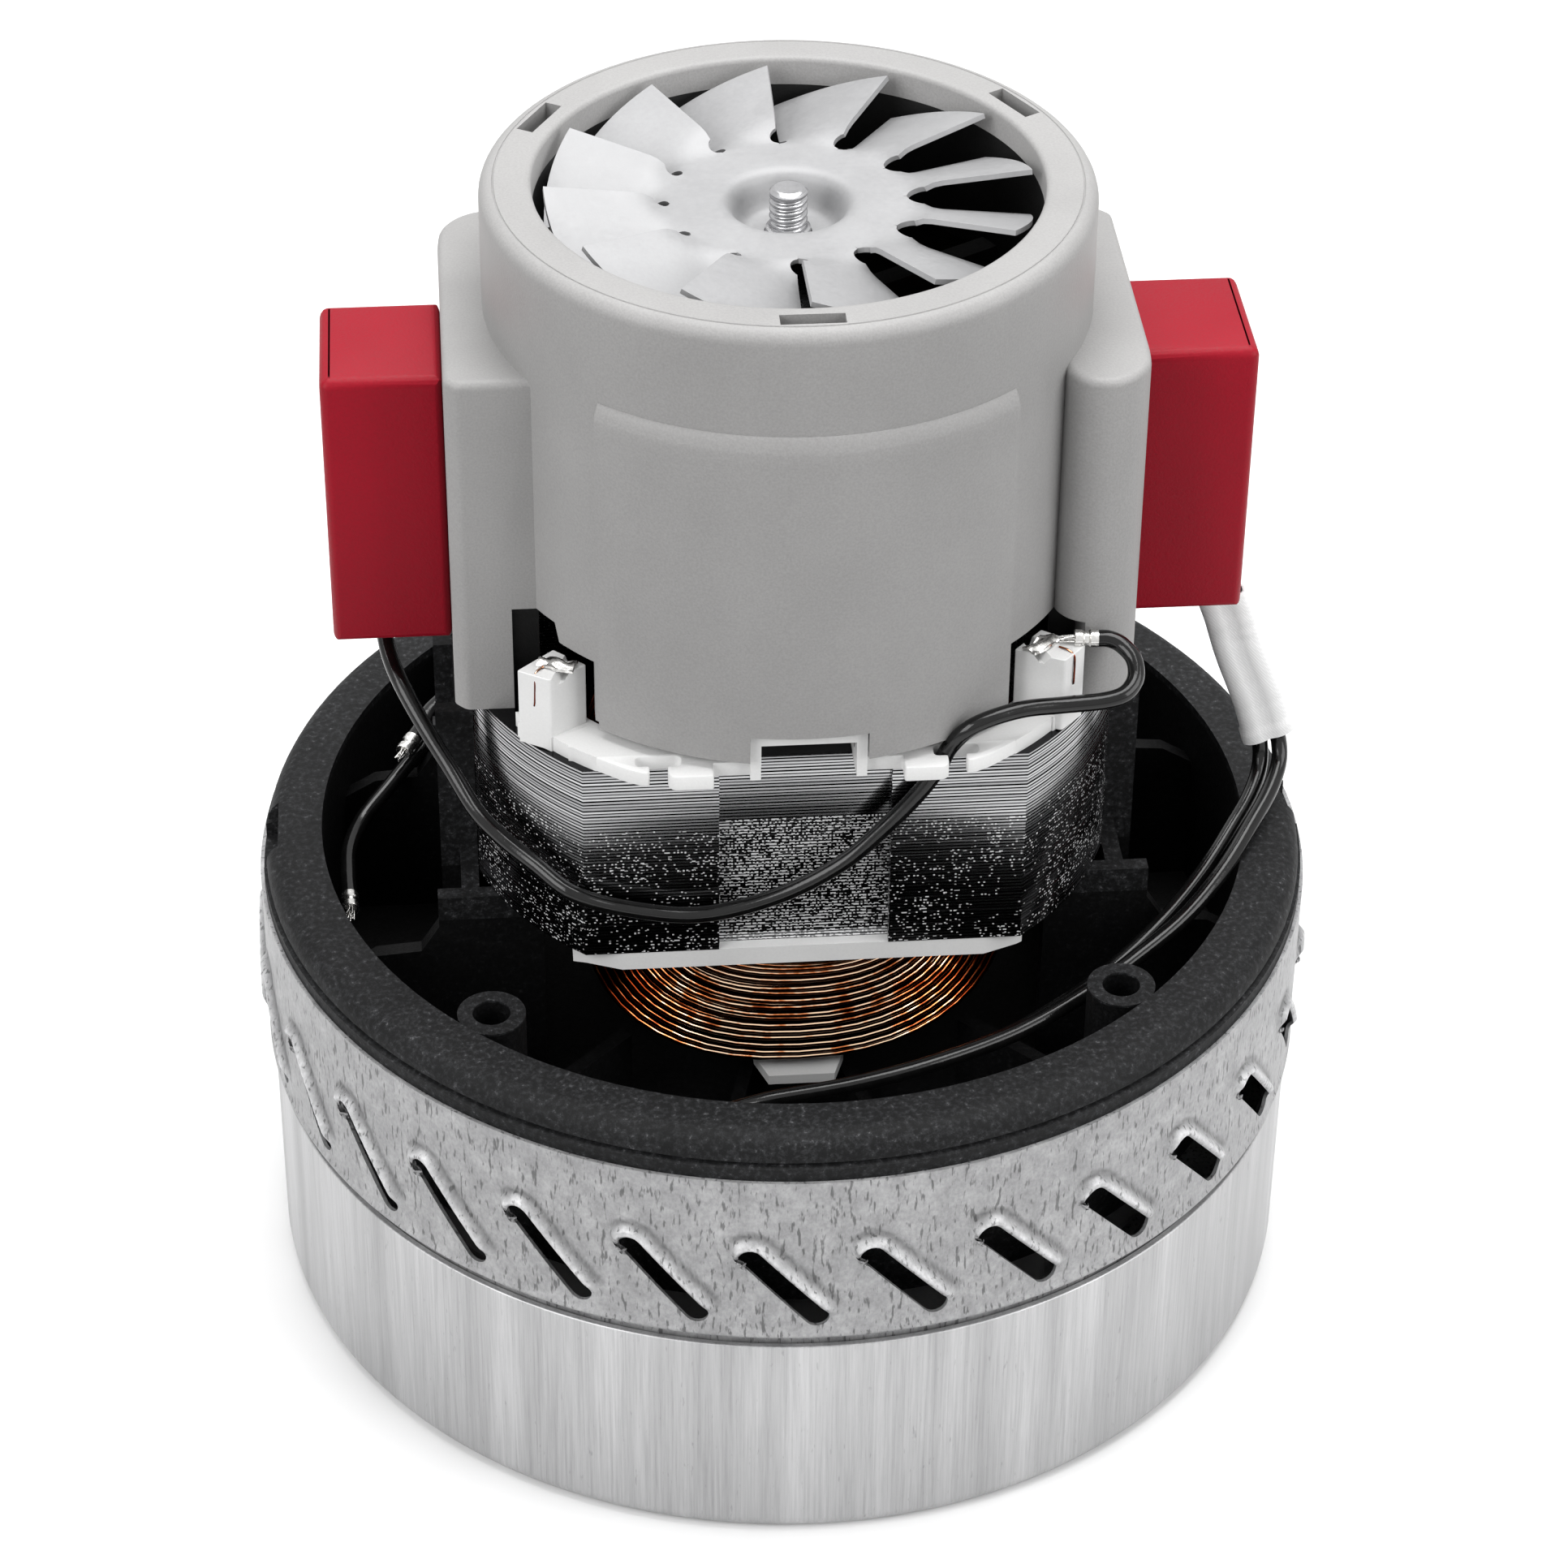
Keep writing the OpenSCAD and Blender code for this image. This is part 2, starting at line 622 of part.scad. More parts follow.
// a is the angle round the loop's lower end, from 0 at the left to 180 at the right
function coil_low(i, a) =
    let (g = coil_grow(i))
    [-(coil_w0 + g) * cos(a), -coil_depth(i) - coil_lean * sin(a), coil_z0 - (8.6 + g) * sin(a)];
function coil_high(i, a) =
    let (
        g = coil_top_pitch * coil_grow(i),
        out = unit([coil_top_h * cos(a), coil_w0 * sin(a)])
    )
    [coil_w0 * cos(a) + g * out.x, -coil_depth(i), coil_z1 + coil_top_h * sin(a) + g * out.y];
function coil_point(i) =
    let (k = i % coil_rings)
    k >= 1 && k <= 12 ? coil_low(i, (k - 1) * 180 / 11)
    : k == 0 ? coil_high(i, 180) : coil_high(i, (k - 13) * 180 / 11);
// Both ends are straight and stand up towards the posts
coil_path = concat(
    [coil_point(1) + [0, 0, 26], coil_point(1) + [0, 0, 13]], [for (i = [1:coil_last]) coil_point(i)],
    [coil_point(coil_last) + [0, 0, 13], coil_point(coil_last) + [0, 0, 26]]);
coil_gap = min([
    for (i = [0:len(coil_path) - 1], j = [i + 12:1:min(i + 60, len(coil_path) - 1)])
        norm(coil_path[i] - coil_path[j])
]) - wire_d;
echo(coil_gap = coil_gap);

module field_coil() {
    color([0.72, 0.36, 0.14]) swept_tube(coil_path, wire_d / 2, 6, [0, 1, 0]);
}

module front_field_coil() {
    field_coil();
}

module rear_field_coil() {
    rotate([0, 0, 180]) field_coil();
}

// The outline of the right ear, square at the back and swollen at the front
module ear_outline() {
    polygon(concat(
        [[ear_in_x - 7, -ear_w / 2 + 1], [33.6, -ear_w / 2 - 0.6]],
        [[35.4, -ear_w / 2 - 3.6]],
        arc(38.4, -ear_w / 2 - 1.6, 3, -130, -62, 3),
        [[ear_x - 0.4, -ear_w / 2 - 0.2], [ear_x, -ear_w / 2 + 1]],
        [[ear_x, ear_w / 2 - 1.5], [ear_x - 1.5, ear_w / 2], [ear_in_x - 5, ear_w / 2]]));
}

module ear() {
    translate([0, 0, stack_z1]) linear_extrude(ear_top - stack_z1 - 1.2) ear_outline();
    translate([0, 0, ear_top - 1.2 - eps]) intersection() {
        linear_extrude(1.2 + eps) ear_outline();
        translate([0, 0, -ear_x + 2.4]) rotate([90, 0, 0])
            linear_extrude(2 * ear_w, center = true)
            polygon([[0, 0], [ear_x - 2.4, ear_x], [ear_x, ear_x - 2.4], [ear_x, 0]]);
    }
}

// The space beside a wire post, left open in the cover's lower edge
module post_window() {
    rotate([90, 0, 0]) translate([0, 0, 16]) linear_extrude(32) polygon([
        [post_x[0] + 1.5, stack_z1 - 1], [post_x[0] + 1.5, cover_z0 + 5.2],
        [post_x[0] + 2.8, cover_z0 + 9.7], [post_x[0] + 5.1, cover_z0 + 11.5],
        [post_x[1] + 0.2, cover_z0 + 11.5], [post_x[1] + 0.2, stack_z1 - 1]
    ]);
}

// The cover's round body before it is hollowed
module cover_blank() {
    rotate_extrude() polygon(concat(
        [[0, cover_z0], [cover_r, cover_z0]],
        arc(cover_r - 1.6, cover_top - 1.6, 1.6, 0, 90, 5),
        [[0, cover_top]]));
    for (a = [-90, 90]) rotate([0, 0, a - panel_half]) rotate_extrude(angle = 2 * panel_half)
        translate([cover_r - 2, cover_z0]) square([panel_out + 2, panel_top - cover_z0]);
}

// The hollow inside the cover, with the cooling air's duct hanging into it
module cover_hollow() {
    duct_z = bridge_z + 5;
    rotate_extrude() polygon([
        [0, stack_z1 - 5], [cover_in_r, stack_z1 - 5], [cover_in_r, cover_top - 4],
        [opening_r + 1.6, cover_top - 4], [opening_r + 1.6, duct_z], [opening_r, duct_z],
        [opening_r, cover_top - 0.6], [opening_r + 0.5, cover_top], [opening_r + 0.5, cover_top + 1],
        [0, cover_top + 1]
    ]);
}

// The bridge that holds the upper bearing
module bearing_bridge() {
    difference() {
        union() {
            translate([0, 0, bridge_z]) cylinder(h = bearing_w + 1, r = bearing_r + 2.6);
            for (a = [30:60:330]) rotate([0, 0, a]) translate([bearing_r + 1, -1.5, bridge_z + 2])
                cube([cover_in_r - bearing_r, 3, 5]);
        }
        translate([0, 0, bridge_z + 1]) cylinder(h = bearing_w + 1, r = bearing_r);
        translate([0, 0, bridge_z - 1]) cylinder(h = 4, r = shaft_r + 4);
    }
}

module commutator_cover() {
    color([0.66, 0.67, 0.68]) {
        bearing_bridge();
        difference() {
            union() {
                cover_blank();
                for (a = [0, 180]) rotate([0, 0, a]) ear();
            }
            cover_hollow();
            for (a = [0, 180]) rotate([0, 0, a]) {
                translate([-frame_x - slip, -50, cover_z0 - 4]) cube([2 * (frame_x + slip), 20, 8]);
                post_window();
                mirror([1, 0, 0]) post_window();
                translate([30, -box_w / 2 + 1.9, brush_z - box_h / 2 + 5.5])
                    cube([20, box_w - 3.8, box_h - 11]);
                for (y = [-screw_y, screw_y]) translate([screw_x, y, stack_z1 - 1])
                    cylinder(h = 9, r = 1.7, $fn = 32);
            }
            for (a = [-90, 30, 150]) rotate([0, 0, a])
                translate([opening_r + 1.95, -4, cover_top - 4.5]) cube([2.3, 8, 6]);
        }
    }
}

module cover_screws() {
    color([0.7, 0.7, 0.72]) for (x = [-1, 1], y = [-1, 1]) translate([x * screw_x, y * screw_y, 0]) {
        translate([0, 0, stack_z0 - 3.2]) cylinder(h = stack_l + 3.2 + 7, r = 1.68, $fn = 32);
        translate([0, 0, stack_z0 - 3.2]) cylinder(h = 3.2, r = 3, $fn = 32);
    }
}

// The right-hand brush box, with its neck in the ear and its lead hole below
module brush_box() {
    mid = (ear_x + box_x1) / 2;
    neck_w2 = box_w - 3.8 - 2 * slip;
    neck_h2 = box_h - 11 - 2 * slip;
    floor_b = brush_z - box_h / 2;
    color([0.62, 0.10, 0.20]) difference() {
        union() {
            translate([mid, 0, brush_z]) rounded_block([box_l, box_w, box_h], 1.4);
            translate([box_neck_x, -neck_w2 / 2, brush_z - neck_h2 / 2])
                cube([ear_x - box_neck_x + 2, neck_w2, neck_h2]);
        }
        translate([box_neck_x - 1, -tube_w / 2 - slip, brush_z - tube_h / 2 - slip])
            cube([tube_x1 - box_neck_x + 1 + slip, tube_w + 2 * slip, tube_h + 2 * slip]);
        translate([ear_x + 3.6, -box_w / 2 + 2, floor_b + 2.4])
            cube([box_l - 6, box_w - 4, box_h / 2 - tube_h / 2 - 2.4 + eps]);
        translate([lead_hole_x, 0, floor_b - 1]) linear_extrude(6) {
            square([2.8, 3], center = true);
            for (s = [-1, 1]) translate([1.4 * s, 0]) circle(1.5, $fn = 32);
        }
    }
}

module right_brush_box() {
    brush_box();
}

module left_brush_box() {
    rotate([0, 0, 180]) brush_box();
}

module brush_tube() {
    color([0.80, 0.66, 0.36]) difference() {
        translate([tube_x0, -tube_w / 2, brush_z - tube_h / 2]) cube([tube_x1 - tube_x0, tube_w, tube_h]);
        translate([tube_x0 - 1, -brush_w / 2 - slip, brush_z - brush_h / 2 - slip])
            cube([tube_x1 - tube_x0 + 1 - tube_t, brush_w + 2 * slip, brush_h + 2 * slip]);
    }
}

module right_brush_tube() {
    brush_tube();
}

module left_brush_tube() {
    rotate([0, 0, 180]) brush_tube();
}

// A tab under the brush tube, with a barrel for each lead that is crimped in it
module box_terminal(xs) {
    tab_z = brush_z - tube_h / 2 - tab_t - slip;
    barrel_z = lead_top_z + 0.05;
    barrel_h = 3;
    translate([lead_hole_x - 4, -3, tab_z]) cube([6, 6, tab_t]);
    for (x = xs) translate([x, 0, barrel_z]) {
        cylinder(h = barrel_h, r = 1.2, $fn = 24);
        translate([-tab_t / 2, -0.9, barrel_h - 0.1]) cube([tab_t, 1.8, tab_z - barrel_z - barrel_h + 0.15]);
    }
}

module brush_terminals() {
    color([0.82, 0.80, 0.72]) {
        box_terminal([lead_hole_x - 0.4 - lead_spread, lead_hole_x - 0.4 + lead_spread]);
        rotate([0, 0, 180]) box_terminal([lead_hole_x - 0.4 - lead_spread]);
    }
}

module post_terminals() {
    color([0.80, 0.80, 0.82]) for (a = [0, 180], m = [0, 1]) rotate([0, 0, a]) mirror([m, 0, 0])
        translate([post_mid.x - post_blade / 2, post_mid.y - post_blade_t / 2, post_top - 5.9])
            cube([post_blade, post_blade_t, 6.9]);
}

module carbon_brush() {
    color([0.15, 0.15, 0.16]) difference() {
        translate([commutator_r - 2, -brush_w / 2, brush_z - brush_h / 2])
            cube([brush_x1 - commutator_r + 2, brush_w, brush_h]);
        translate([0, 0, brush_z - brush_h]) cylinder(h = 2 * brush_h, r = brush_x0);
    }
}

module right_carbon_brush() {
    carbon_brush();
}

module left_carbon_brush() {
    rotate([0, 0, 180]) carbon_brush();
}

// The coil spring behind a brush, as a tube of its wire's thickness
module brush_spring() {
    color([0.6, 0.6, 0.62]) translate([brush_x1 + slip, 0, brush_z]) rotate([0, 90, 0]) difference() {
        cylinder(h = tube_x1 - tube_t - brush_x1 - 2 * slip, r = brush_w / 2 - 0.2, $fn = 32);
        translate([0, 0, -1]) cylinder(h = 40, r = brush_w / 2 - 0.2 - spring_wire, $fn = 32);
    }
}

module right_brush_spring() {
    brush_spring();
}

module left_brush_spring() {
    rotate([0, 0, 180]) brush_spring();
}

module shaft() {
    step_z = upper_bearing_z + bearing_w + 0.3;
    color([0.72, 0.72, 0.74]) {
        translate([0, 0, first_z + 1]) cylinder(h = step_z - first_z - 1, r = shaft_r);
        translate([0, 0, step_z]) cylinder(h = cover_top - 7.4 - step_z, r = fan_seat_r);
        translate([0, 0, cover_top - 7.4]) cylinder(h = shaft_top - cover_top + 7.4 - 0.6, r = thread_r);
        translate([0, 0, shaft_top - 0.6]) cylinder(h = 0.6, r1 = thread_r, r2 = thread_r - 0.6);
    }
}

module armature_core() {
    color([0.50, 0.51, 0.53]) translate([0, 0, stack_z0]) linear_extrude(stack_l) difference() {
        circle(armature_r);
        circle(shaft_r + fit);
        for (i = [0:21]) rotate([0, 0, i * 360 / 22]) translate([armature_r - 8, 0]) {
            circle(1.3, $fn = 24);
            translate([0, -0.8]) square([10, 1.6]);
        }
    }
}

// The ends of the winding, bound and varnished to one mass above and below the core
module armature_winding() {
    r0 = shaft_r + 3;
    r1 = armature_r - 1.6;
    color([0.62, 0.30, 0.12]) {
        translate([0, 0, stack_z0]) rotate_extrude() polygon(concat(
            [[shaft_r + fit, -eps], [shaft_r + fit, -6], [r0, -12.5]],
            arc(r1 - 4, -9, 4, -90, 0, 5), [[r1, -eps]]));
        translate([0, 0, stack_z1]) rotate_extrude() polygon(concat(
            [[r1, eps]], arc(r1 - 5, 6, 5, 0, 90, 5), [[r0 + 2, 12.5], [shaft_r + fit, 14],
            [shaft_r + fit, eps]]));
    }
}

module commutator() {
    color([0.72, 0.45, 0.28]) difference() {
        translate([0, 0, commutator_z]) cylinder(h = commutator_h, r = commutator_r);
        translate([0, 0, commutator_z - 1]) cylinder(h = commutator_h + 2, r = shaft_r + fit);
        for (i = [0:21]) rotate([0, 0, i * 360 / 22]) translate([commutator_r - 1, -0.3, commutator_z + 2])
            cube([3, 0.6, commutator_h]);
    }
}

module bearing_ring(z) {
    color([0.65, 0.66, 0.68]) ring(bearing_r - fit, inner_ring_r + run_gap, z, z + bearing_w);
}

module bearing_inner(z) {
    color([0.75, 0.76, 0.78]) ring(inner_ring_r, shaft_r + fit, z, z + bearing_w);
}

module lower_bearing_ring() {
    bearing_ring(bearing_z0);
}

module lower_bearing_inner() {
    bearing_inner(bearing_z0);
}

module upper_bearing_ring() {
    bearing_ring(upper_bearing_z);
}

module upper_bearing_inner() {
    bearing_inner(upper_bearing_z);
}

module fan_bush() {
    color([0.7, 0.7, 0.72]) ring(shaft_r + 1.5, fan_seat_r + fit, upper_bearing_z + bearing_w + 0.3,
        fan_dish_z - fit);
}

// One blade, leaning down behind its raised radial edge
module fan_blade() {
    half = 180 / fan_blades;
    intersection() {
        translate([0, 0, fan_z - 8]) linear_extrude(16) intersection() {
            difference() {
                circle(fan_r);
                circle(fan_hub_r - 2.4);
            }
            polygon([[0, 0], [50 * cos(half - 0.9), -50 * sin(half - 0.9)], [60, 0],
                [50 * cos(half - 0.9), 50 * sin(half - 0.9)]]);
        }
        translate([0, 0, fan_z]) rotate([-blade_pitch, 0, 0])
            translate([10, -14, -fan_t / 2]) cube([24, 28, fan_t]);
    }
}

module cooling_fan() {
    dish_r = 8;
    color([0.78, 0.79, 0.80]) difference() {
        union() {
            rotate_extrude() polygon([
                [fan_seat_r + fit, fan_dish_z], [4.4, fan_dish_z], [dish_r + 0.6, fan_z - fan_t / 2],
                [fan_hub_r, fan_z - fan_t / 2], [fan_hub_r, fan_z + fan_t / 2],
                [dish_r, fan_z + fan_t / 2], [4, fan_dish_z + fan_t], [fan_seat_r + fit, fan_dish_z + fan_t]
            ]);
            for (i = [0:fan_blades - 1]) rotate([0, 0, (i + 0.5) * 360 / fan_blades]) fan_blade();
        }
        for (i = [0:fan_blades - 1]) rotate([0, 0, i * 360 / fan_blades])
            translate([fan_hub_r - 0.3, 0, fan_z - 5]) cylinder(h = 10, r = 1, $fn = 24);
    }
}

module impeller(z) {
    top = z + impeller_h - impeller_t;
    color([0.74, 0.75, 0.76]) {
        ring(impeller_r, eye_r, z, z + impeller_t);
        ring(impeller_r, shaft_r + fit, top, top + impeller_t);
        for (i = [0:impeller_blades - 1]) rotate([0, 0, i * 360 / impeller_blades])
            translate([0, 0, z + impeller_t - eps])
            linear_extrude(impeller_h - 2 * impeller_t + 2 * eps) vane(eye_r + 1, impeller_r - 0.5, 62, 0.8);
    }
}

module first_impeller() {
    impeller(first_z);
}

module second_impeller() {
    impeller(second_z);
}

module impeller_spacer() {
    color([0.72, 0.72, 0.74])
        ring(shaft_r + 2, shaft_r + fit, first_z + impeller_h, second_z + impeller_h - impeller_t);
}

module bearing_spacer() {
    color([0.72, 0.72, 0.74]) ring(shaft_r + 2, shaft_r + fit, second_z + impeller_h, bearing_z0);
}

module impeller_nut() {
    top = first_z + impeller_h - impeller_t;
    color([0.7, 0.7, 0.72]) translate([0, 0, top - nut_h]) difference() {
        cylinder(h = nut_h, r = shaft_r + 3.4, $fn = 6);
        translate([0, 0, -1]) cylinder(h = nut_h + 2, r = shaft_r + fit);
    }
}

module post_lead() {
    lead(post_lead_path);
}

module box_lead_outer() {
    lead(box_lead_outer_path);
}

module box_lead_inner() {
    lead(box_lead_inner_path);
}

module rear_lead() {
    lead(rear_lead_path);
}

module short_lead() {
    lead(short_lead_path);
}

// The flat sleeve's outside, made slimmer by thinner and longer by longer at each end
module sleeve_body(thinner, longer) {
    top = [60, 0, 97.9];
    foot = [67.3, 0, 77.5];
    lean = atan2(foot.x - top.x, top.z - foot.z);
    past = longer * unit(foot - top);
    hull() {
        translate(top - past) rotate([0, -lean, 0]) cube([6.3 - thinner, 3.4 - thinner, 0.4], center = true);
        translate(foot + past) rotate([0, -lean, 0]) cube([7.2 - thinner, 3.8 - thinner, 0.4], center = true);
    }
}

// The flat sleeve over the two leads of the right brush box
module lead_sleeve() {
    color([0.93, 0.93, 0.93]) difference() {
        sleeve_body(0, 0);
        sleeve_body(0.8, 1.2);
    }
}

// A crimped barrel at a lead's end: at is its foot and dir points away from the lead
module crimp(at, dir, l) {
    a = atan2(dir.y, dir.x);
    b = acos(dir.z / norm(dir));
    translate(at) rotate([0, b, a]) {
        cylinder(h = l, r = 1.25, $fn = 24);
        translate([0, 0, l - eps]) cylinder(h = 1.6, r = 0.8, $fn = 24);
    }
}

function end_dir(p) = unit(p[len(p) - 1] - p[len(p) - 2]);

module lead_crimps() {
    color([0.80, 0.80, 0.82])
        for (p = [post_lead_path, box_lead_inner_path, box_lead_outer_path, rear_lead_path, short_lead_path])
        crimp(p[len(p) - 1] + 0.05 * end_dir(p), end_dir(p), 3);
}

intake_can();
louvre_shell();
stage_guide();
motor_bracket();
stator_core();
lower_insulator();
upper_insulator();
front_field_coil();
rear_field_coil();
commutator_cover();
cover_screws();
left_brush_box();
right_brush_box();
left_brush_tube();
right_brush_tube();
brush_terminals();
post_terminals();
left_carbon_brush();
right_carbon_brush();
left_brush_spring();
right_brush_spring();
shaft();
armature_core();
armature_winding();
commutator();
lower_bearing_ring();
lower_bearing_inner();
upper_bearing_ring();
upper_bearing_inner();
fan_bush();
cooling_fan();
first_impeller();
second_impeller();
impeller_spacer();
bearing_spacer();
impeller_nut();
post_lead();
box_lead_outer();
box_lead_inner();
rear_lead();
short_lead();
lead_sleeve();
lead_crimps();
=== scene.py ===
import json
import math
import random
from contextlib import contextmanager

import bmesh
import bpy
from mathutils import Matrix, Vector

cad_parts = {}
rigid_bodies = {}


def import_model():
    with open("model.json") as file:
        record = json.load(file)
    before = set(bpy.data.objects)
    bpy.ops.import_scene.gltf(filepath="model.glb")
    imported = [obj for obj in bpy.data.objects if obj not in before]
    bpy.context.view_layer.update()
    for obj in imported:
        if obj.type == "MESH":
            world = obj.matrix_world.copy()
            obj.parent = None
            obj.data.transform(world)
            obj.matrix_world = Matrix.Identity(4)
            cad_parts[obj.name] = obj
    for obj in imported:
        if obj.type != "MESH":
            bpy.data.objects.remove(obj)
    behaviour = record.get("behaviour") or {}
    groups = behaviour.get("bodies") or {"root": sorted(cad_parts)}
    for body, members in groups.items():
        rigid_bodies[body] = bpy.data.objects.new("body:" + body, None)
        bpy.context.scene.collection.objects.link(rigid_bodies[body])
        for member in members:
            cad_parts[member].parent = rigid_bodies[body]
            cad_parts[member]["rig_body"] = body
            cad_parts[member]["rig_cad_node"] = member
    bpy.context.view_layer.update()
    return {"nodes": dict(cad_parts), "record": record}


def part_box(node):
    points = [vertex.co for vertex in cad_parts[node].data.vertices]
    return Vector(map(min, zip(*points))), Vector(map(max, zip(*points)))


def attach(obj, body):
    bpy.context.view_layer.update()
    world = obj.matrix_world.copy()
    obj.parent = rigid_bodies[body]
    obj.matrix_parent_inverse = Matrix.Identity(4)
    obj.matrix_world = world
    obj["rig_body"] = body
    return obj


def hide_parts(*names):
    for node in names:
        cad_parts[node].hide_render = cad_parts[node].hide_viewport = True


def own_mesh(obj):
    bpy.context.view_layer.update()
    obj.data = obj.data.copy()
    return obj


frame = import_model()
cadNodes = frame["nodes"]
scene = bpy.context.scene
print("the packed motor is loaded")


# small helpers, all sizes in millimetres until the last step

def inMetres(point):
    return Vector([value / 1000 for value in point])


def newPiece(name, verts, faces, body, slot, replaced=()):
    mesh = bpy.data.meshes.new(name)
    mesh.from_pydata([inMetres(v) for v in verts], [], faces)
    mesh.validate()
    piece = bpy.data.objects.new(name, mesh)
    scene.collection.objects.link(piece)
    return settle(piece, body, slot, replaced)


def settle(piece, body, slot, replaced=()):
    # puts a finished piece on its body, with the finish of its slot
    piece.data.materials.clear()
    piece.data.materials.append(finishes[slot])
    if replaced:
        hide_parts(*replaced)
    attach(piece, body)
    return piece


@contextmanager
def opened(mesh):
    # lends the mesh out for a change and puts the result back
    work = bmesh.new()
    work.from_mesh(mesh)
    yield work
    work.to_mesh(mesh)
    work.free()


def smoothByAngle(piece, angle):
    # round surfaces shade smoothly, real edges stay crisp
    limit = math.radians(angle)
    with opened(piece.data) as work:
        for face in work.faces:
            face.smooth = True
        for edge in work.edges:
            edge.smooth = len(edge.link_faces) == 2 and edge.calc_face_angle(0) < limit


def evenAngles(count):
    return [math.radians(360 * k / count) for k in range(count)]


def ringPoints(profile, angles):
    # a ring of points for each (radius, height) of the profile
    return [(r * math.cos(a), r * math.sin(a), z) for r, z in profile for a in angles]


def roundedProfile(corners, steps=5):
    # corners are (radius, height, rounding); a rounding of 0 stays sharp
    points = []
    count = len(corners)
    for i, (r, z, rounding) in enumerate(corners):
        here = Vector((r, z))
        if rounding <= 0:
            points.append((r, z))
            continue
        before = Vector(corners[i - 1][:2]) - here
        after = Vector(corners[(i + 1) % count][:2]) - here
        start = here + before.normalized() * min(rounding, before.length * 0.49)
        end = here + after.normalized() * min(rounding, after.length * 0.49)
        for k in range(steps + 1):
            t = k / steps
            p = start * (1 - t) ** 2 + here * 2 * t * (1 - t) + end * t * t
            points.append((p.x, p.y))
    return points


def softened(nodeName, pieceName, slot, width, segments, angle=28):
    # the node's own shape with its moulded edges rounded off; a width of 0 leaves them sharp
    piece = cadNodes[nodeName].copy()
    piece.data = cadNodes[nodeName].data.copy()
    piece.name = pieceName
    piece.parent = None
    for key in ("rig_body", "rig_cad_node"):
        if key in piece:
            del piece[key]
    scene.collection.objects.link(piece)
    with opened(piece.data) as work:
        bmesh.ops.remove_doubles(work, verts=work.verts, dist=0.00001)
        if width:
            bmesh.ops.dissolve_limit(work, angle_limit=math.radians(1.5), verts=work.verts, edges=work.edges,
                                     delimit={"NORMAL"})
    smoothByAngle(piece, angle)
    if width:
        edgeBevel(piece, width, segments, angle)
    return settle(piece, "housing", slot, [nodeName])


def smoothStep(low, high, value):
    t = min(1, max(0, (value - low) / (high - low)))
    return t * t * (3 - 2 * t)


def gridFaces(rows, columns, wrap=False, flip=False):
    # quads over a grid of points that were listed row by row
    faces = []
    for i in range(rows - 1):
        for j in range(columns if wrap else columns - 1):
            n = (j + 1) % columns
            a, b, c, d = i * columns + j, i * columns + n, (i + 1) * columns + n, (i + 1) * columns + j
            faces.append((a, d, c, b) if flip else (a, b, c, d))
    return faces


def shifted(faces, start):
    # the same faces over points that begin at start in a longer list
    return [tuple(start + k for k in face) for face in faces]


def welded(piece, distance=0.002):
    # joins points that lie on each other, distance in millimetres
    with opened(piece.data) as work:
        bmesh.ops.remove_doubles(work, verts=work.verts, dist=distance / 1000)


def thickened(piece, sheet):
    # gives a surface the thickness of its sheet, on its inner side
    shell = piece.modifiers.new("sheet", "SOLIDIFY")
    shell.thickness = sheet / 1000
    shell.offset = -1


def edgeBevel(piece, width, segments=2, angle=40):
    bevel = piece.modifiers.new("softEdges", "BEVEL")
    bevel.width = width / 1000
    bevel.segments = segments
    bevel.limit_method = "ANGLE"
    bevel.angle_limit = math.radians(angle)
    bevel.use_clamp_overlap = True
    bevel.harden_normals = True


def blockPiece(name, blocks):
    # closed blocks, each from a low corner to a high corner
    verts, faces = [], []
    for low, high in blocks:
        start = len(verts)
        verts += [(x, y, z) for z in (low[2], high[2])
                  for x, y in ((low[0], low[1]), (high[0], low[1]), (high[0], high[1]), (low[0], high[1]))]
        faces += shifted(((3, 2, 1, 0), (4, 5, 6, 7), (0, 1, 5, 4), (1, 2, 6, 5), (2, 3, 7, 6), (3, 0, 4, 7)), start)
    return toolPiece(name, verts, faces)


def toolPiece(name, verts, faces):
    # a closed piece without a finish, with its faces turned outwards
    mesh = bpy.data.meshes.new(name)
    mesh.from_pydata([inMetres(v) for v in verts], [], faces)
    with opened(mesh) as work:
        bmesh.ops.remove_doubles(work, verts=work.verts, dist=0.000002)
        bmesh.ops.recalc_face_normals(work, faces=work.faces)
        if work.calc_volume(signed=True) < 0:
            bmesh.ops.reverse_faces(work, faces=work.faces)
    piece = bpy.data.objects.new(name, mesh)
    scene.collection.objects.link(piece)
    return piece


def combine(piece, tool, operation):
    # joins or cuts a piece with a tool piece that is used up
    change = piece.modifiers.new("change", "BOOLEAN")
    change.operation = operation
    change.object = tool
    change.solver = "EXACT"
    bpy.context.view_layer.update()
    made = bpy.data.meshes.new_from_object(piece.evaluated_get(bpy.context.evaluated_depsgraph_get()))
    piece.modifiers.clear()
    old = piece.data
    piece.data = made
    bpy.data.meshes.remove(old)
    bpy.data.objects.remove(tool)


def prismRings(outline, levels):
    # levels are (height, inset); a closed piece with flat ends
    count = len(outline)
    inward = []
    for i in range(count):
        before, here, after = Vector(outline[i - 1]), Vector(outline[i]), Vector(outline[(i + 1) % count])
        one, two = (here - before).normalized(), (after - here).normalized()
        side = Vector((-one.y - two.y, one.x + two.x)).normalized()
        inward.append(side / max(0.5, side.dot(Vector((-one.y, one.x)))))
    verts = []
    for z, inset in levels:
        verts += [(x + n.x * inset, y + n.y * inset, z) for (x, y), n in zip(outline, inward)]
    faces = gridFaces(len(levels), count, wrap=True)
    faces += [tuple(range(count - 1, -1, -1)), tuple(range(len(verts) - count, len(verts)))]
    return verts, faces


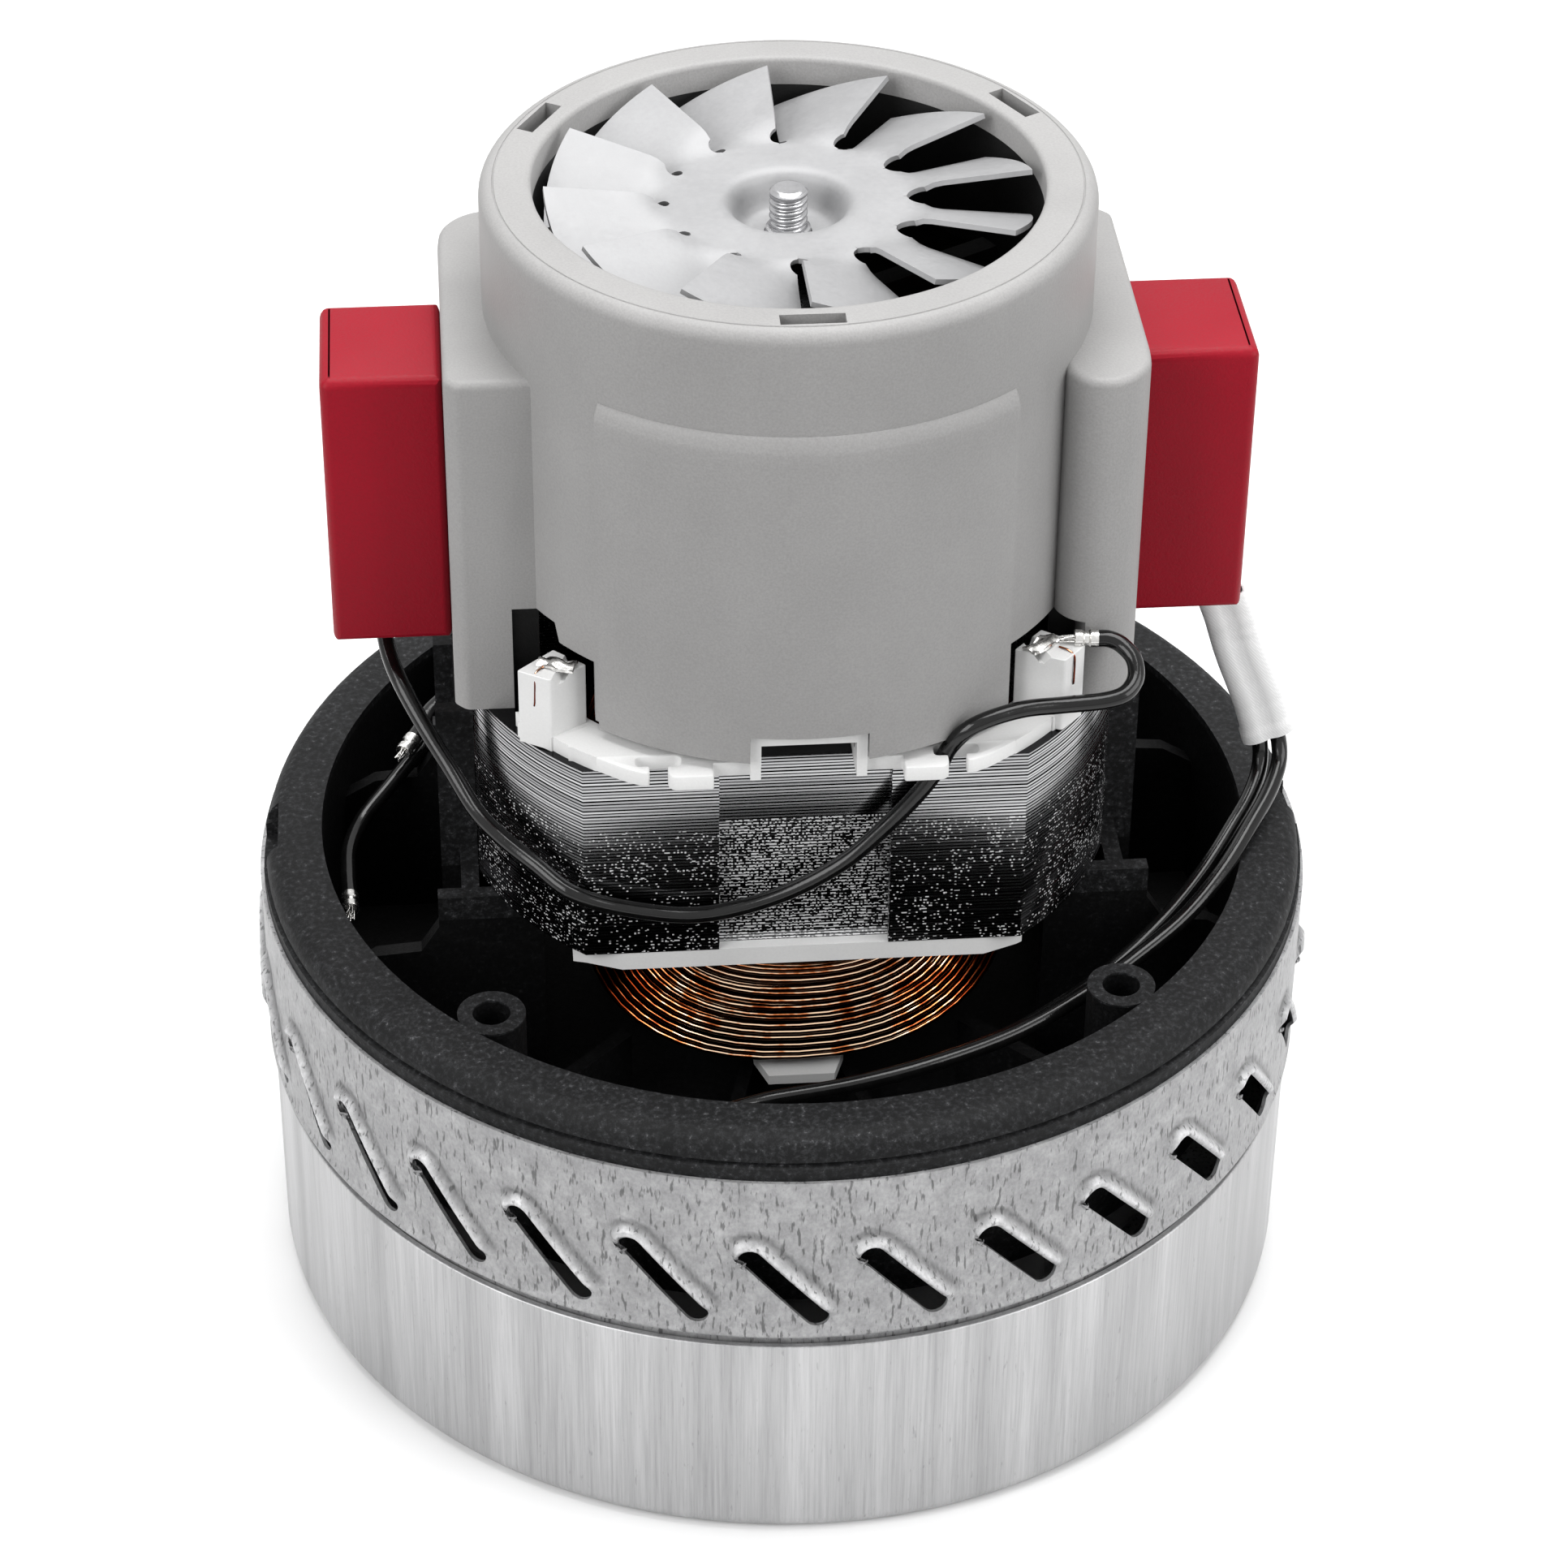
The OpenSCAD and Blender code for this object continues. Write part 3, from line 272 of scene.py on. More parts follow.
def radialBar(degrees, inner, outer, half):
    # the outline of a bar that points away from the axis
    a = math.radians(degrees)
    return [(r * math.cos(a) - s * math.sin(a), r * math.sin(a) + s * math.cos(a))
            for r, s in ((inner, -half), (outer, -half), (outer, half), (inner, half))]


# camera, at the photograph's place

cameraPlace = {"at": (-43.3, -497.3, 438.4), "heading": 4.98, "tilt": 34.92, "roll": 0.57,
               "lens": 102.8, "shiftY": -0.0699}


def placeCamera(place):
    heading, tilt, roll = (math.radians(place[k]) for k in ("heading", "tilt", "roll"))
    ahead = Vector((math.cos(tilt) * math.sin(heading), math.cos(tilt) * math.cos(heading), -math.sin(tilt)))
    levelRight = Vector((math.cos(heading), -math.sin(heading), 0))
    levelUp = levelRight.cross(ahead)
    right = levelRight * math.cos(roll) + levelUp * math.sin(roll)
    up = right.cross(ahead)
    camera = bpy.data.objects.new("photoCamera", bpy.data.cameras.new("photoCamera"))
    scene.collection.objects.link(camera)
    turn = Matrix((right, up, -ahead)).transposed().to_4x4()
    camera.matrix_world = Matrix.Translation(inMetres(place["at"])) @ turn
    camera.data.lens = place["lens"]
    camera.data.sensor_width = 36
    camera.data.shift_y = place["shiftY"]
    camera.data.clip_start = 0.02
    scene.camera = camera


placeCamera(cameraPlace)
print("camera placed")


# finishes

def newFinish(name, color, roughness, metallic=0.0, specular=0.5):
    material = bpy.data.materials.new(name)
    material.use_nodes = True
    shader = material.node_tree.nodes["Principled BSDF"]
    shader.inputs["Base Color"].default_value = (*color, 1)
    shader.inputs["Roughness"].default_value = roughness
    shader.inputs["Metallic"].default_value = metallic
    shader.inputs["Specular IOR Level"].default_value = specular
    return material, material.node_tree, shader


def placeOn(tree, stretch):
    # the point on the piece in millimetres, times a stretch for each axis
    where = tree.nodes.new("ShaderNodeTexCoord")
    scale = tree.nodes.new("ShaderNodeVectorMath")
    scale.operation = "MULTIPLY"
    scale.inputs[1].default_value = [1000 * s for s in stretch]
    tree.links.new(where.outputs["Object"], scale.inputs[0])
    return scale.outputs[0]


def cloud(tree, stretch, detail=3.0, roughness=0.55):
    # a soft noise whose grain is 1 mm divided by the stretch
    noise = tree.nodes.new("ShaderNodeTexNoise")
    noise.inputs["Scale"].default_value = 1.0
    noise.inputs["Detail"].default_value = detail
    noise.inputs["Roughness"].default_value = roughness
    tree.links.new(placeOn(tree, stretch), noise.inputs["Vector"])
    return noise.outputs["Fac"]


def ramp(tree, value, stops):
    # stops are (place, grey or colour)
    node = tree.nodes.new("ShaderNodeValToRGB")
    band = node.color_ramp
    while len(band.elements) < len(stops):
        band.elements.new(0.5)
    for element, (place, color) in zip(band.elements, stops):
        element.position = place
        element.color = (*color, 1) if isinstance(color, tuple) else (color, color, color, 1)
    tree.links.new(value, node.inputs["Fac"])
    return node.outputs["Color"]


def blendColors(tree, first, second, factor, mode="MIX"):
    node = tree.nodes.new("ShaderNodeMix")
    node.data_type = "RGBA"
    node.blend_type = mode
    sockets = {"Factor": node.inputs[0], "A": node.inputs[6], "B": node.inputs[7]}
    for key, given in (("Factor", factor), ("A", first), ("B", second)):
        if isinstance(given, (int, float)):
            sockets[key].default_value = given
        elif isinstance(given, tuple):
            sockets[key].default_value = (*given, 1)
        else:
            tree.links.new(given, sockets[key])
    return node.outputs[2]


def shaded(tree, tint, shade, factor=1.0):
    return blendColors(tree, tint, shade, factor, "MULTIPLY")


def paint(tree, shader, color):
    tree.links.new(color, shader.inputs["Base Color"])


def mathNode(tree, operation, *given):
    node = tree.nodes.new("ShaderNodeMath")
    node.operation = operation
    for socket, value in zip(node.inputs, given):
        if isinstance(value, (int, float)):
            socket.default_value = value
        else:
            tree.links.new(value, socket)
    return node.outputs[0]


def splitPlace(tree):
    # the point's X, Y and Z in millimetres, and its distance from the motor's axis
    split = tree.nodes.new("ShaderNodeSeparateXYZ")
    tree.links.new(placeOn(tree, (1, 1, 1)), split.inputs[0])
    square = [mathNode(tree, "MULTIPLY", split.outputs[k], split.outputs[k]) for k in (0, 1)]
    return *split.outputs, mathNode(tree, "SQRT", mathNode(tree, "ADD", *square))


def rise(tree, shader, height, depth):
    # relief, depth in millimetres; a second call stacks on the first
    bump = tree.nodes.new("ShaderNodeBump")
    bump.inputs["Distance"].default_value = depth / 1000
    tree.links.new(height, bump.inputs["Height"])
    socket = shader.inputs["Normal"]
    if socket.is_linked:
        tree.links.new(socket.links[0].from_socket, bump.inputs["Normal"])
    tree.links.new(bump.outputs["Normal"], socket)


def sheenRange(tree, shader, value, low, high):
    # roughness that wanders between low and high
    node = tree.nodes.new("ShaderNodeMapRange")
    node.inputs["From Min"].default_value = 0.3
    node.inputs["From Max"].default_value = 0.7
    node.inputs["To Min"].default_value = low
    node.inputs["To Max"].default_value = high
    tree.links.new(value, node.inputs["Value"])
    tree.links.new(node.outputs["Result"], shader.inputs["Roughness"])


def layered(name, color, roughness, tint, shades, sheen, relief, metallic=0.0, specular=0.5, grain=None):
    # tint is (noise, stops) and each shade (noise, stops, strength), where a noise is what cloud takes;
    # sheen and relief follow the grain, or else the tint's own noise
    material, tree, shader = newFinish(name, color, roughness, metallic, specular)
    noise = cloud(tree, *tint[0])
    made = ramp(tree, noise, tint[1])
    for shade, stops, strength in shades:
        made = shaded(tree, made, ramp(tree, cloud(tree, *shade), stops), strength)
    paint(tree, shader, made)
    if grain:
        noise = cloud(tree, *grain)
    sheenRange(tree, shader, noise, *sheen)
    rise(tree, shader, noise, relief)
    return material


def reopened(material):
    # the tree, the shader and the colour so far, for one more layer
    shader = material.node_tree.nodes["Principled BSDF"]
    return material.node_tree, shader, shader.inputs["Base Color"].links[0].from_socket


def mouldedFinish(name, color, roughness, grain, spread, specular=0.5):
    # filled plastic: fine matt grain, faint flow clouds
    darker = tuple(c * (1 - spread) for c in color)
    lighter = tuple(min(1, c * (1 + spread)) for c in color)
    flow = (((0.07, 0.07, 0.05), 2.0), [(0.35, 0.93), (0.65, 1.0)], 1.0)
    return layered(name, color, roughness, (((3.2, 3.2, 3.2), 2.0), [(0.3, darker), (0.7, lighter)]), [flow],
                   (roughness - 0.06, roughness + 0.06), grain, specular=specular)


# painted shade for the cover's hollow: its colour, and how far inside and behind the windows it reaches
hollowShade = {"color": (0.006, 0.006, 0.006), "radius": 37.3, "top": 162.7,
        "pocketTop": 116.6, "pocketX": 36.96, "pocketY": 16.3}


def coverFinish():
    # light grey plastic, with painted shade: black on the inside and behind the windows, where the hollow lies in
    # shadow
    material = mouldedFinish("greyMoulding", (0.312, 0.308, 0.305), 0.5, 0.03, 0.07, 0.3)
    tree, shader, plain = reopened(material)
    x, y, height, radius = splitPlace(tree)
    hollowShadeMask = mathNode(tree, "MULTIPLY", mathNode(tree, "LESS_THAN", radius, hollowShade["radius"]),
                     mathNode(tree, "LESS_THAN", height, hollowShade["top"]))
    behind = mathNode(tree, "LESS_THAN", height, hollowShade["pocketTop"])
    for side, reach in ((x, hollowShade["pocketX"]), (y, hollowShade["pocketY"])):
        near = mathNode(tree, "LESS_THAN", mathNode(tree, "ABSOLUTE", side), reach)
        behind = mathNode(tree, "MULTIPLY", behind, near)
    hollowShadeMask = mathNode(tree, "MAXIMUM", hollowShadeMask, behind)
    # the painted shade goes over the grey
    paint(tree, shader, blendColors(tree, plain, hollowShade["color"], hollowShadeMask))
    return material


def brushedFinish(name, color, roughness, stretch, lineDepth):
    # metal with fine lines along one way
    lines = ((stretch, 4.0, 0.7), [(0.32, tuple(0.88 * c for c in color)), (0.62, color)])
    patches = (((0.05, 0.05, 0.02), 3.0), [(0.3, 0.86), (0.7, 1.0)], 1.0)
    return layered(name, color, roughness, lines, [patches], (roughness - 0.06, roughness + 0.1), lineDepth,
                   metallic=1.0)


def fanFinish():
    # pressed aluminium with a dull skin
    color = (0.33, 0.33, 0.335)
    skin = [(0.3, tuple(0.93 * c for c in color)), (0.7, tuple(1.05 * c for c in color))]
    patches = (((0.1, 0.1, 0.1), 2.0), [(0.35, 0.92), (0.65, 1.0)], 1.0)
    return layered("fanAluminium", color, 0.55, (((1.4, 1.4, 1.4), 4.0, 0.65), skin), [patches],
                   (0.49, 0.63), 0.015, metallic=0.3, specular=0.35)


def canFinish():
    # drawn aluminium, brushed up and down, with a few nicks
    color = (0.5, 0.5, 0.505)
    lines = ((2.6, 2.6, 0.05), 5.0, 0.75), [(0.33, (0.4, 0.4, 0.405)), (0.52, color), (0.7, (0.58, 0.58, 0.585))]
    bands = (((0.16, 0.16, 0.008), 2.0), [(0.35, 0.78), (0.65, 1.0)], 1.0)
    nicks = (((1.6, 1.6, 0.35), 2.0, 0.6), [(0.24, 0.55), (0.33, 1.0)], 0.5)
    return layered("canAluminium", color, 0.42, lines, [bands, nicks], (0.34, 0.55), 0.035, metallic=0.8)


def galvanisedFinish():
    # zinc bloom in soft patches and short dark drawing streaks, with a painted highlight on the hoods' crests and
    # painted shade at their feet
    bloom = [(0.3, (0.29, 0.29, 0.295)), (0.5, (0.36, 0.36, 0.365)), (0.72, (0.47, 0.47, 0.475))]
    grain = (((2.2, 2.2, 1.4), 3.0, 0.6), [(0.35, 0.82), (0.62, 1.0)], 1.0)
    streaks = ((1.9, 1.9, 0.42), 2.0, 0.5)
    material = layered("galvanisedSteel", (0.4, 0.4, 0.405), 0.42, (((0.3, 0.3, 0.26), 4.0, 0.65), bloom),
                       [grain, (streaks, [(0.33, 0.3), (0.42, 1.0)], 0.85)], (0.36, 0.55), 0.05, metallic=0.45)
    tree, shader, plain = reopened(material)
    # the hoods' painted highlight (up to 1.75 times brighter) and painted shade (down to 0.4), read from the shell's
    # points
    hoodLightShade = tree.nodes.new("ShaderNodeAttribute")
    hoodLightShade.attribute_name = "hoodLightShade"
    hoodLightLevel = mathNode(tree, "MULTIPLY_ADD", hoodLightShade.outputs["Fac"], 0.5, 0.5)
    paint(tree, shader, shaded(tree, plain, ramp(tree, hoodLightLevel, [(0.0, 0.4), (0.5, 1.0), (1.0, 1.75)])))
    rise(tree, shader, cloud(tree, *streaks), 0.02)
    return material


# painted shade for the inside of the bowl: how far it reaches and its colour
bowlShade = {"radius": 63.8, "top": 66.6, "color": (0.0012, 0.0012, 0.0013)}


def blackFinish():
    # glass-filled black plastic with pale specks, with painted shade that makes it darker down in the bowl
    color = (0.0062, 0.0063, 0.0066)
    specks = [(0.46, color), (0.62, (0.024, 0.0245, 0.026)), (0.74, (0.12, 0.12, 0.125))]
    broad = (((0.09, 0.09, 0.06), 3.0), [(0.35, 0.8), (0.65, 1.15)], 1.0)
    material = layered("blackMoulding", color, 0.6, (((1.3, 1.3, 1.3), 4.0, 0.75), specks), [broad],
                       (0.5, 0.7), 0.05, specular=0.13, grain=((2.6, 2.6, 2.6), 3.0, 0.6))
    tree, shader, plain = reopened(material)
    x, y, height, radius = splitPlace(tree)
    inside = mathNode(tree, "MULTIPLY", mathNode(tree, "LESS_THAN", radius, bowlShade["radius"]),
                      mathNode(tree, "LESS_THAN", height, bowlShade["top"]))
    # the painted shade goes over the black inside the bowl
    paint(tree, shader, blendColors(tree, plain, bowlShade["color"], mathNode(tree, "MULTIPLY", inside, 0.85)))
    return material


sheetLook = {"foot": 70.3, "perMm": 2.0, "recessHalf": 11.2, "tornTop": 90.2, "cells": (4.2, 4.2, 4.0)}


def laminationFinish():
    # each sheet's cut edge shines between two dark lines; low down the torn part of the cut gets painted glints,
    # bright specks on its rough grain;
    # the flat faces get painted shade, dark as in a shadowed recess
    material, tree, shader = newFinish("laminationSteel", (0.5, 0.5, 0.51), 0.16, 1.0)
    x, y, height, radius = splitPlace(tree)
    place = mathNode(tree, "SUBTRACT", height, sheetLook["foot"])
    place = mathNode(tree, "FRACT", mathNode(tree, "MULTIPLY", place, sheetLook["perMm"]))
    away = mathNode(tree, "ABSOLUTE", mathNode(tree, "SUBTRACT", place, 0.5))
    middle = mathNode(tree, "SUBTRACT", 1.0, mathNode(tree, "MULTIPLY", away, 2.0))
    line = ramp(tree, middle, [(0.3, 0.015), (0.5, 1.0)])
    sheets = cloud(tree, (0.02, 0.02, 2.0), 1.0)
    tint = ramp(tree, sheets, [(0.3, (0.24, 0.242, 0.248)), (0.7, (0.5, 0.502, 0.51))])
    tint = shaded(tree, tint, line)
    cells = tree.nodes.new("ShaderNodeTexWhiteNoise")
    snapped = tree.nodes.new("ShaderNodeVectorMath")
    snapped.operation = "FLOOR"
    tree.links.new(placeOn(tree, sheetLook["cells"]), snapped.inputs[0])
    tree.links.new(snapped.outputs[0], cells.inputs["Vector"])
    crowd = cloud(tree, (0.13, 0.13, 0.2), 2.0)
    recess = mathNode(tree, "LESS_THAN", mathNode(tree, "ABSOLUTE", x), sheetLook["recessHalf"])
    limit = mathNode(tree, "SUBTRACT", 1.16, mathNode(tree, "MULTIPLY", crowd, 0.5))
    limit = mathNode(tree, "SUBTRACT", limit, mathNode(tree, "MULTIPLY", recess, 0.45))
    # painted glints: bright, less metallic specks on the torn lower part of each cut edge, whose rough grain is real
    low = mathNode(tree, "LESS_THAN", height, sheetLook["tornTop"])
    tornGlints = mathNode(tree, "MULTIPLY", mathNode(tree, "GREATER_THAN", cells.outputs["Value"], limit), low)
    tornGlints = mathNode(tree, "MULTIPLY", tornGlints, mathNode(tree, "GREATER_THAN", middle, 0.42))
    tint = blendColors(tree, tint, (0.8, 0.8, 0.81), tornGlints)
    # painted shade: the flat faces, facing up or down, are made nearly black
    facing = tree.nodes.new("ShaderNodeNewGeometry")
    way = tree.nodes.new("ShaderNodeSeparateXYZ")
    tree.links.new(facing.outputs["True Normal"], way.inputs[0])
    flat = mathNode(tree, "GREATER_THAN", mathNode(tree, "ABSOLUTE", way.outputs["Z"]), 0.9)
    paint(tree, shader, blendColors(tree, tint, (0.03, 0.03, 0.032), flat))
    tree.links.new(mathNode(tree, "SUBTRACT", 1.0, mathNode(tree, "MULTIPLY", tornGlints, 0.8)), shader.inputs["Metallic"])
    return material


def copperFinish():
    # enamelled wire with a painted highlight: a narrow bright line on the side that faces up and forward, dark
    # red-brown beside it
    material, tree, shader = newFinish("enamelledCopper", (0.35, 0.08, 0.02), 0.14, 1.0)
    facing = tree.nodes.new("ShaderNodeNewGeometry")
    lit = tree.nodes.new("ShaderNodeVectorMath")
    lit.operation = "DOT_PRODUCT"
    tree.links.new(facing.outputs["Normal"], lit.inputs[0])
    lit.inputs[1].default_value = (0.0, -0.62, 0.78)
    broken = cloud(tree, (0.35, 0.35, 0.35), 3.0)
    broken = mathNode(tree, "MULTIPLY", mathNode(tree, "SUBTRACT", broken, 0.5), 0.6)
    amount = mathNode(tree, "ADD", lit.outputs["Value"], broken)
    # the painted highlight's colours, from dark red-brown to near white, by how far the surface faces up and forward
    tint = ramp(tree, amount, [(0.5, (0.045, 0.005, 0.0015)), (0.84, (0.2, 0.03, 0.006)), (0.92, (0.72, 0.24, 0.08)),
                               (0.98, (1.0, 0.72, 0.5))])
    paint(tree, shader, tint)
    return material


def leadFinish():
    # smooth silicone insulation
    material, tree, shader = newFinish("leadRubber", (0.004, 0.004, 0.0042), 0.14, specular=0.36)
    wander = cloud(tree, (0.4, 0.4, 0.4), 3.0)
    paint(tree, shader, ramp(tree, wander, [(0.3, 0.003), (0.7, 0.006)]))
    sheenRange(tree, shader, wander, 0.1, 0.18)
    rise(tree, shader, cloud(tree, (1.5, 1.5, 1.5), 2.0), 0.015)
    return material


def sleevingFinish():
    # varnished glass cloth: two threads crossing
    material, tree, shader = newFinish("whiteSleeving", (0.9, 0.9, 0.895), 0.6)
    waves = []
    for axis in ((1.0, 1.3, 0.9), (1.0, -1.3, 0.9)):
        wave = tree.nodes.new("ShaderNodeTexWave")
        wave.wave_type = "BANDS"
        wave.bands_direction = "DIAGONAL"
        wave.inputs["Scale"].default_value = 1.5
        wave.inputs["Distortion"].default_value = 0.6
        tree.links.new(placeOn(tree, axis), wave.inputs["Vector"])
        waves.append(wave.outputs["Fac"])
    threads = mathNode(tree, "MULTIPLY", waves[0], waves[1])
    paint(tree, shader, ramp(tree, threads, [(0.0, 0.84), (0.6, 0.93)]))
    rise(tree, shader, threads, 0.012)
    return material


finishes = {
    "can_aluminium": canFinish(),
    "galvanised_steel": galvanisedFinish(),
    "black_moulding": blackFinish(),
    "lamination_steel": laminationFinish(),
    "white_moulding": mouldedFinish("whiteMoulding", (0.79, 0.79, 0.785), 0.42, 0.015, 0.02),
    "enamelled_copper": copperFinish(),
    "bar_copper": brushedFinish("barCopper", (0.74, 0.42, 0.26), 0.3, (0.3, 0.3, 5.0), 0.01),
    "grey_moulding": coverFinish(),
    "bright_steel": brushedFinish("brightSteel", (0.5, 0.5, 0.51), 0.22, (0.3, 0.3, 5.0), 0.01),
    "red_moulding": mouldedFinish("redMoulding", (0.275, 0.001, 0.0115), 0.5, 0.03, 0.08, 0.2),
    "brass_sheet": brushedFinish("brassSheet", (0.78, 0.58, 0.28), 0.28, (3.0, 0.2, 3.0), 0.01),
    "tinned_brass": brushedFinish("tinnedBrass", (0.76, 0.75, 0.73), 0.22, (2.0, 2.0, 0.5), 0.02),
    "carbon": mouldedFinish("pressedCarbon", (0.035, 0.035, 0.038), 0.55, 0.03, 0.2),
    "fan_aluminium": fanFinish(),
    "lead_rubber": leadFinish(),
    "white_sleeving": sleevingFinish(),
}
slotOf = {row["node"]: row["material_slot"] for row in frame["record"]["subparts"]}
for nodeName, node in cadNodes.items():
    node.data.materials.clear()
    node.data.materials.append(finishes[slotOf[nodeName]])
print("finishes made:", len(finishes))


# leads, on the same routes as the part's source

leadRadius = 1.12
leadRoutes = {
    "postLead": {
        "node": "post_lead", "farEnd": "object",
        "route": [
            (-53.7, 0, 108.6), (-53.7, 0, 106.6), (-53.7, -0.3, 104.2), (-53.7, -1.9, 101.2),
            (-53, -5, 98.6), (-51.4, -8.8, 96.2), (-48.7, -13, 92.6), (-45.4, -17.4, 88.6),
            (-42.4, -22.4, 85.6), (-39, -27.2, 84.4), (-34.8, -31.8, 83.3), (-30.4, -35.7, 81.6),
            (-24, -36.2, 79.2), (-14.1, -36.2, 77.5), (-4, -36.2, 79.9), (4.5, -36.2, 84.8),
            (10.6, -36.2, 91), (14.6, -36.2, 96), (17, -36, 99.8), (18.4, -36.1, 103), (21.4, -36.5, 106.4),
            (27.2, -35, 107.4), (33, -34, 107.2), (38.2, -33.6, 107.3), (41.1, -32.9, 107.8),
            (42.7, -31.1, 108.9), (42.7, -28.9, 110.4), (41.3, -27.2, 111.5), (39.8, -26.5, 112),
            (38.4, -26.4, 112.1)],
    },
    "boxLeadInner": {
        "node": "box_lead_inner", "farEnd": "connector",
        "route": [
            (53.7, 0, 108.6), (53.7, 0, 107.2), (54.1, 0, 105.2), (54.8, 0, 103.2), (56.1, 0, 101.1),
            (57.5, 0, 99.1), (58.8, 0, 97.3), (60, 0, 94.5), (61.8, 0, 89.6), (64.1, 0, 83),
            (66.1, 0, 77.1), (66.4, -1.4, 72.6), (64.6, -5.2, 70.2), (61.2, -10.6, 68.7),
            (56.4, -17.4, 66.6), (50.2, -24.2, 64), (43.4, -29.6, 61.2), (37.4, -33.6, 59.4),
            (27.2, -40.6, 58.6), (15.8, -45.4, 58), (5, -48, 57.2), (-5.8, -48.9, 56), (-12, -48, 53.4),
            (-18, -46.6, 49.4), (-25, -43.6, 45.2)],
    },
    "boxLeadOuter": {
        "node": "box_lead_outer", "farEnd": "connector",
        "route": [
            (56.3, 0, 108.6), (56.3, 0, 107.2), (56.5, 0, 106), (57.2, 0, 104.4), (58.3, 0, 102.5),
            (59.7, 0, 100.5), (61, 0, 98.5), (62.4, 0, 95.5), (64.2, 0, 90.4), (66.5, 0, 83.8),
            (68.5, 0, 77.9), (69, -1.8, 73.8), (67.2, -6, 71.6), (63.7, -11.8, 70.1), (58.6, -19.4, 68),
            (52.2, -26.6, 65.8), (44.8, -32, 63.4), (38.2, -36.2, 61.6), (27.8, -42.8, 60.6),
            (16.2, -47.6, 60), (5.2, -50.2, 59.2), (-5.8, -51.1, 58), (-12.6, -50.6, 55.2),
            (-19.4, -49.8, 51), (-27, -47.2, 46.6)],
    },
    "rearLead": {
        "node": "rear_lead", "farEnd": "connector",
        "route": [
            (-26, 31, 66.2), (-33, 31.4, 66.2), (-40, 30, 65.8), (-46.6, 26.4, 64.8), (-51, 20.6, 63.6),
            (-54.8, 15.6, 62), (-58.4, 10.4, 60.6), (-60.2, 4.4, 60.2), (-60.4, -1, 60), (-60.2, -6.2, 60)],
    },
    "shortLead": {
        "node": "short_lead", "farEnd": "connector",
        "route": [
            (-20, 33.2, 66.2), (-28, 33.8, 66.6), (-36, 34, 67.6), (-43.4, 31, 68.4), (-48, 26.2, 68.2),
            (-49.8, 22.2, 67.6), (-50.9, 20, 67.4)],
    },
}


def smoothRoute(points, steps=8):
    # the source's own smooth curve, with more steps between its points
    points = [Vector(p) for p in points]
    made = []
    last = len(points) - 1
    for i in range(last):
        a, b, c, d = points[max(i - 1, 0)], points[i], points[i + 1], points[min(i + 2, last)]
        for k in range(steps):
            u = k / steps
            made.append(0.5 * (2 * b + (c - a) * u + (2 * a - 5 * b + 4 * c - d) * u * u
                               + (3 * b - a - 3 * c + d) * u ** 3))
    made.append(points[last])
    return made


def wireCurve(name, runs, radius, rings):
    # runs are lists of points; each becomes one open wire
    curve = bpy.data.curves.new(name, "CURVE")
    curve.dimensions = "3D"
    curve.bevel_depth = radius / 1000
    curve.bevel_resolution = rings
    curve.use_fill_caps = True
    for run in runs:
        spline = curve.splines.new("POLY")
        spline.points.add(len(run) - 1)
        for point, place in zip(spline.points, run):
            point.co = (*inMetres(place), 1)
        spline.use_smooth = True
    piece = bpy.data.objects.new(name, curve)
    scene.collection.objects.link(piece)
    return piece


smoothRoutes = {name: smoothRoute(lead["route"]) for name, lead in leadRoutes.items()}


# crimped barrels on the leads' ends, with the strands they grip

crimpPlan = {"rings": [(0.05, 1.1), (0.1, 1.22), (1.1, 1.22), (1.35, 0.98), (1.9, 0.94), (2.15, 1.16), (3.1, 1.16),
                       (3.2, 1.05), (3.2, 0.45)],
             "around": 20, "pinch": 0.86, "pinchFrom": 1.2, "pinchTo": 2.0,
             "strands": 9, "strandR": 0.13, "strandFoot": 2.9, "strandLength": 2.2, "lean": 0.45, "seed": 21}


def makeCrimps(plan):
    chance = random.Random(plan["seed"])
    lean = plan["lean"]
    pieces = {}
    for name, route in smoothRoutes.items():
        end = route[-1]
        ahead = (route[-1] - route[-2]).normalized()
        side = ahead.orthogonal().normalized()
        other = ahead.cross(side)
        verts = []
        for along, r in plan["rings"]:
            pinch = plan["pinch"] if plan["pinchFrom"] < along < plan["pinchTo"] else 1.0
            verts += [tuple(end + ahead * along + side * r * math.cos(a) + other * r * pinch * math.sin(a))
                      for a in evenAngles(plan["around"])]
        barrel = newPiece(name + "Crimp", verts, gridFaces(len(plan["rings"]), plan["around"], wrap=True),
                          "housing", "tinned_brass")
        smoothByAngle(barrel, 40)
        runs = []
        for k in range(plan["strands"]):
            a = 2.4 * k
            r = 0.12 + 0.055 * k
            foot = end + ahead * plan["strandFoot"] + side * r * math.cos(a) + other * r * math.sin(a)
            bend = side * chance.uniform(-lean, lean) + other * chance.uniform(-lean, lean)
            reach = plan["strandLength"] * chance.uniform(0.7, 1.0)
            runs.append([tuple(foot + ahead * reach * u + bend * (u * u)) for u in (0, 0.25, 0.5, 0.75, 1.0)])
        strands = wireCurve(name + "Strands", runs, plan["strandR"], 1)
        pieces[name] = [barrel, settle(strands, "housing", "tinned_brass")]
    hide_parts("lead_crimps")
    return pieces


leadEnds = makeCrimps(crimpPlan)
for name, lead in leadRoutes.items():
    route = smoothRoutes[name]
    piece = wireCurve(name, [route], leadRadius, 5)
    settle(piece, "housing", "lead_rubber", [lead["node"]])


# cooling fan: one pressed sheet, each blade raised along its leading edge

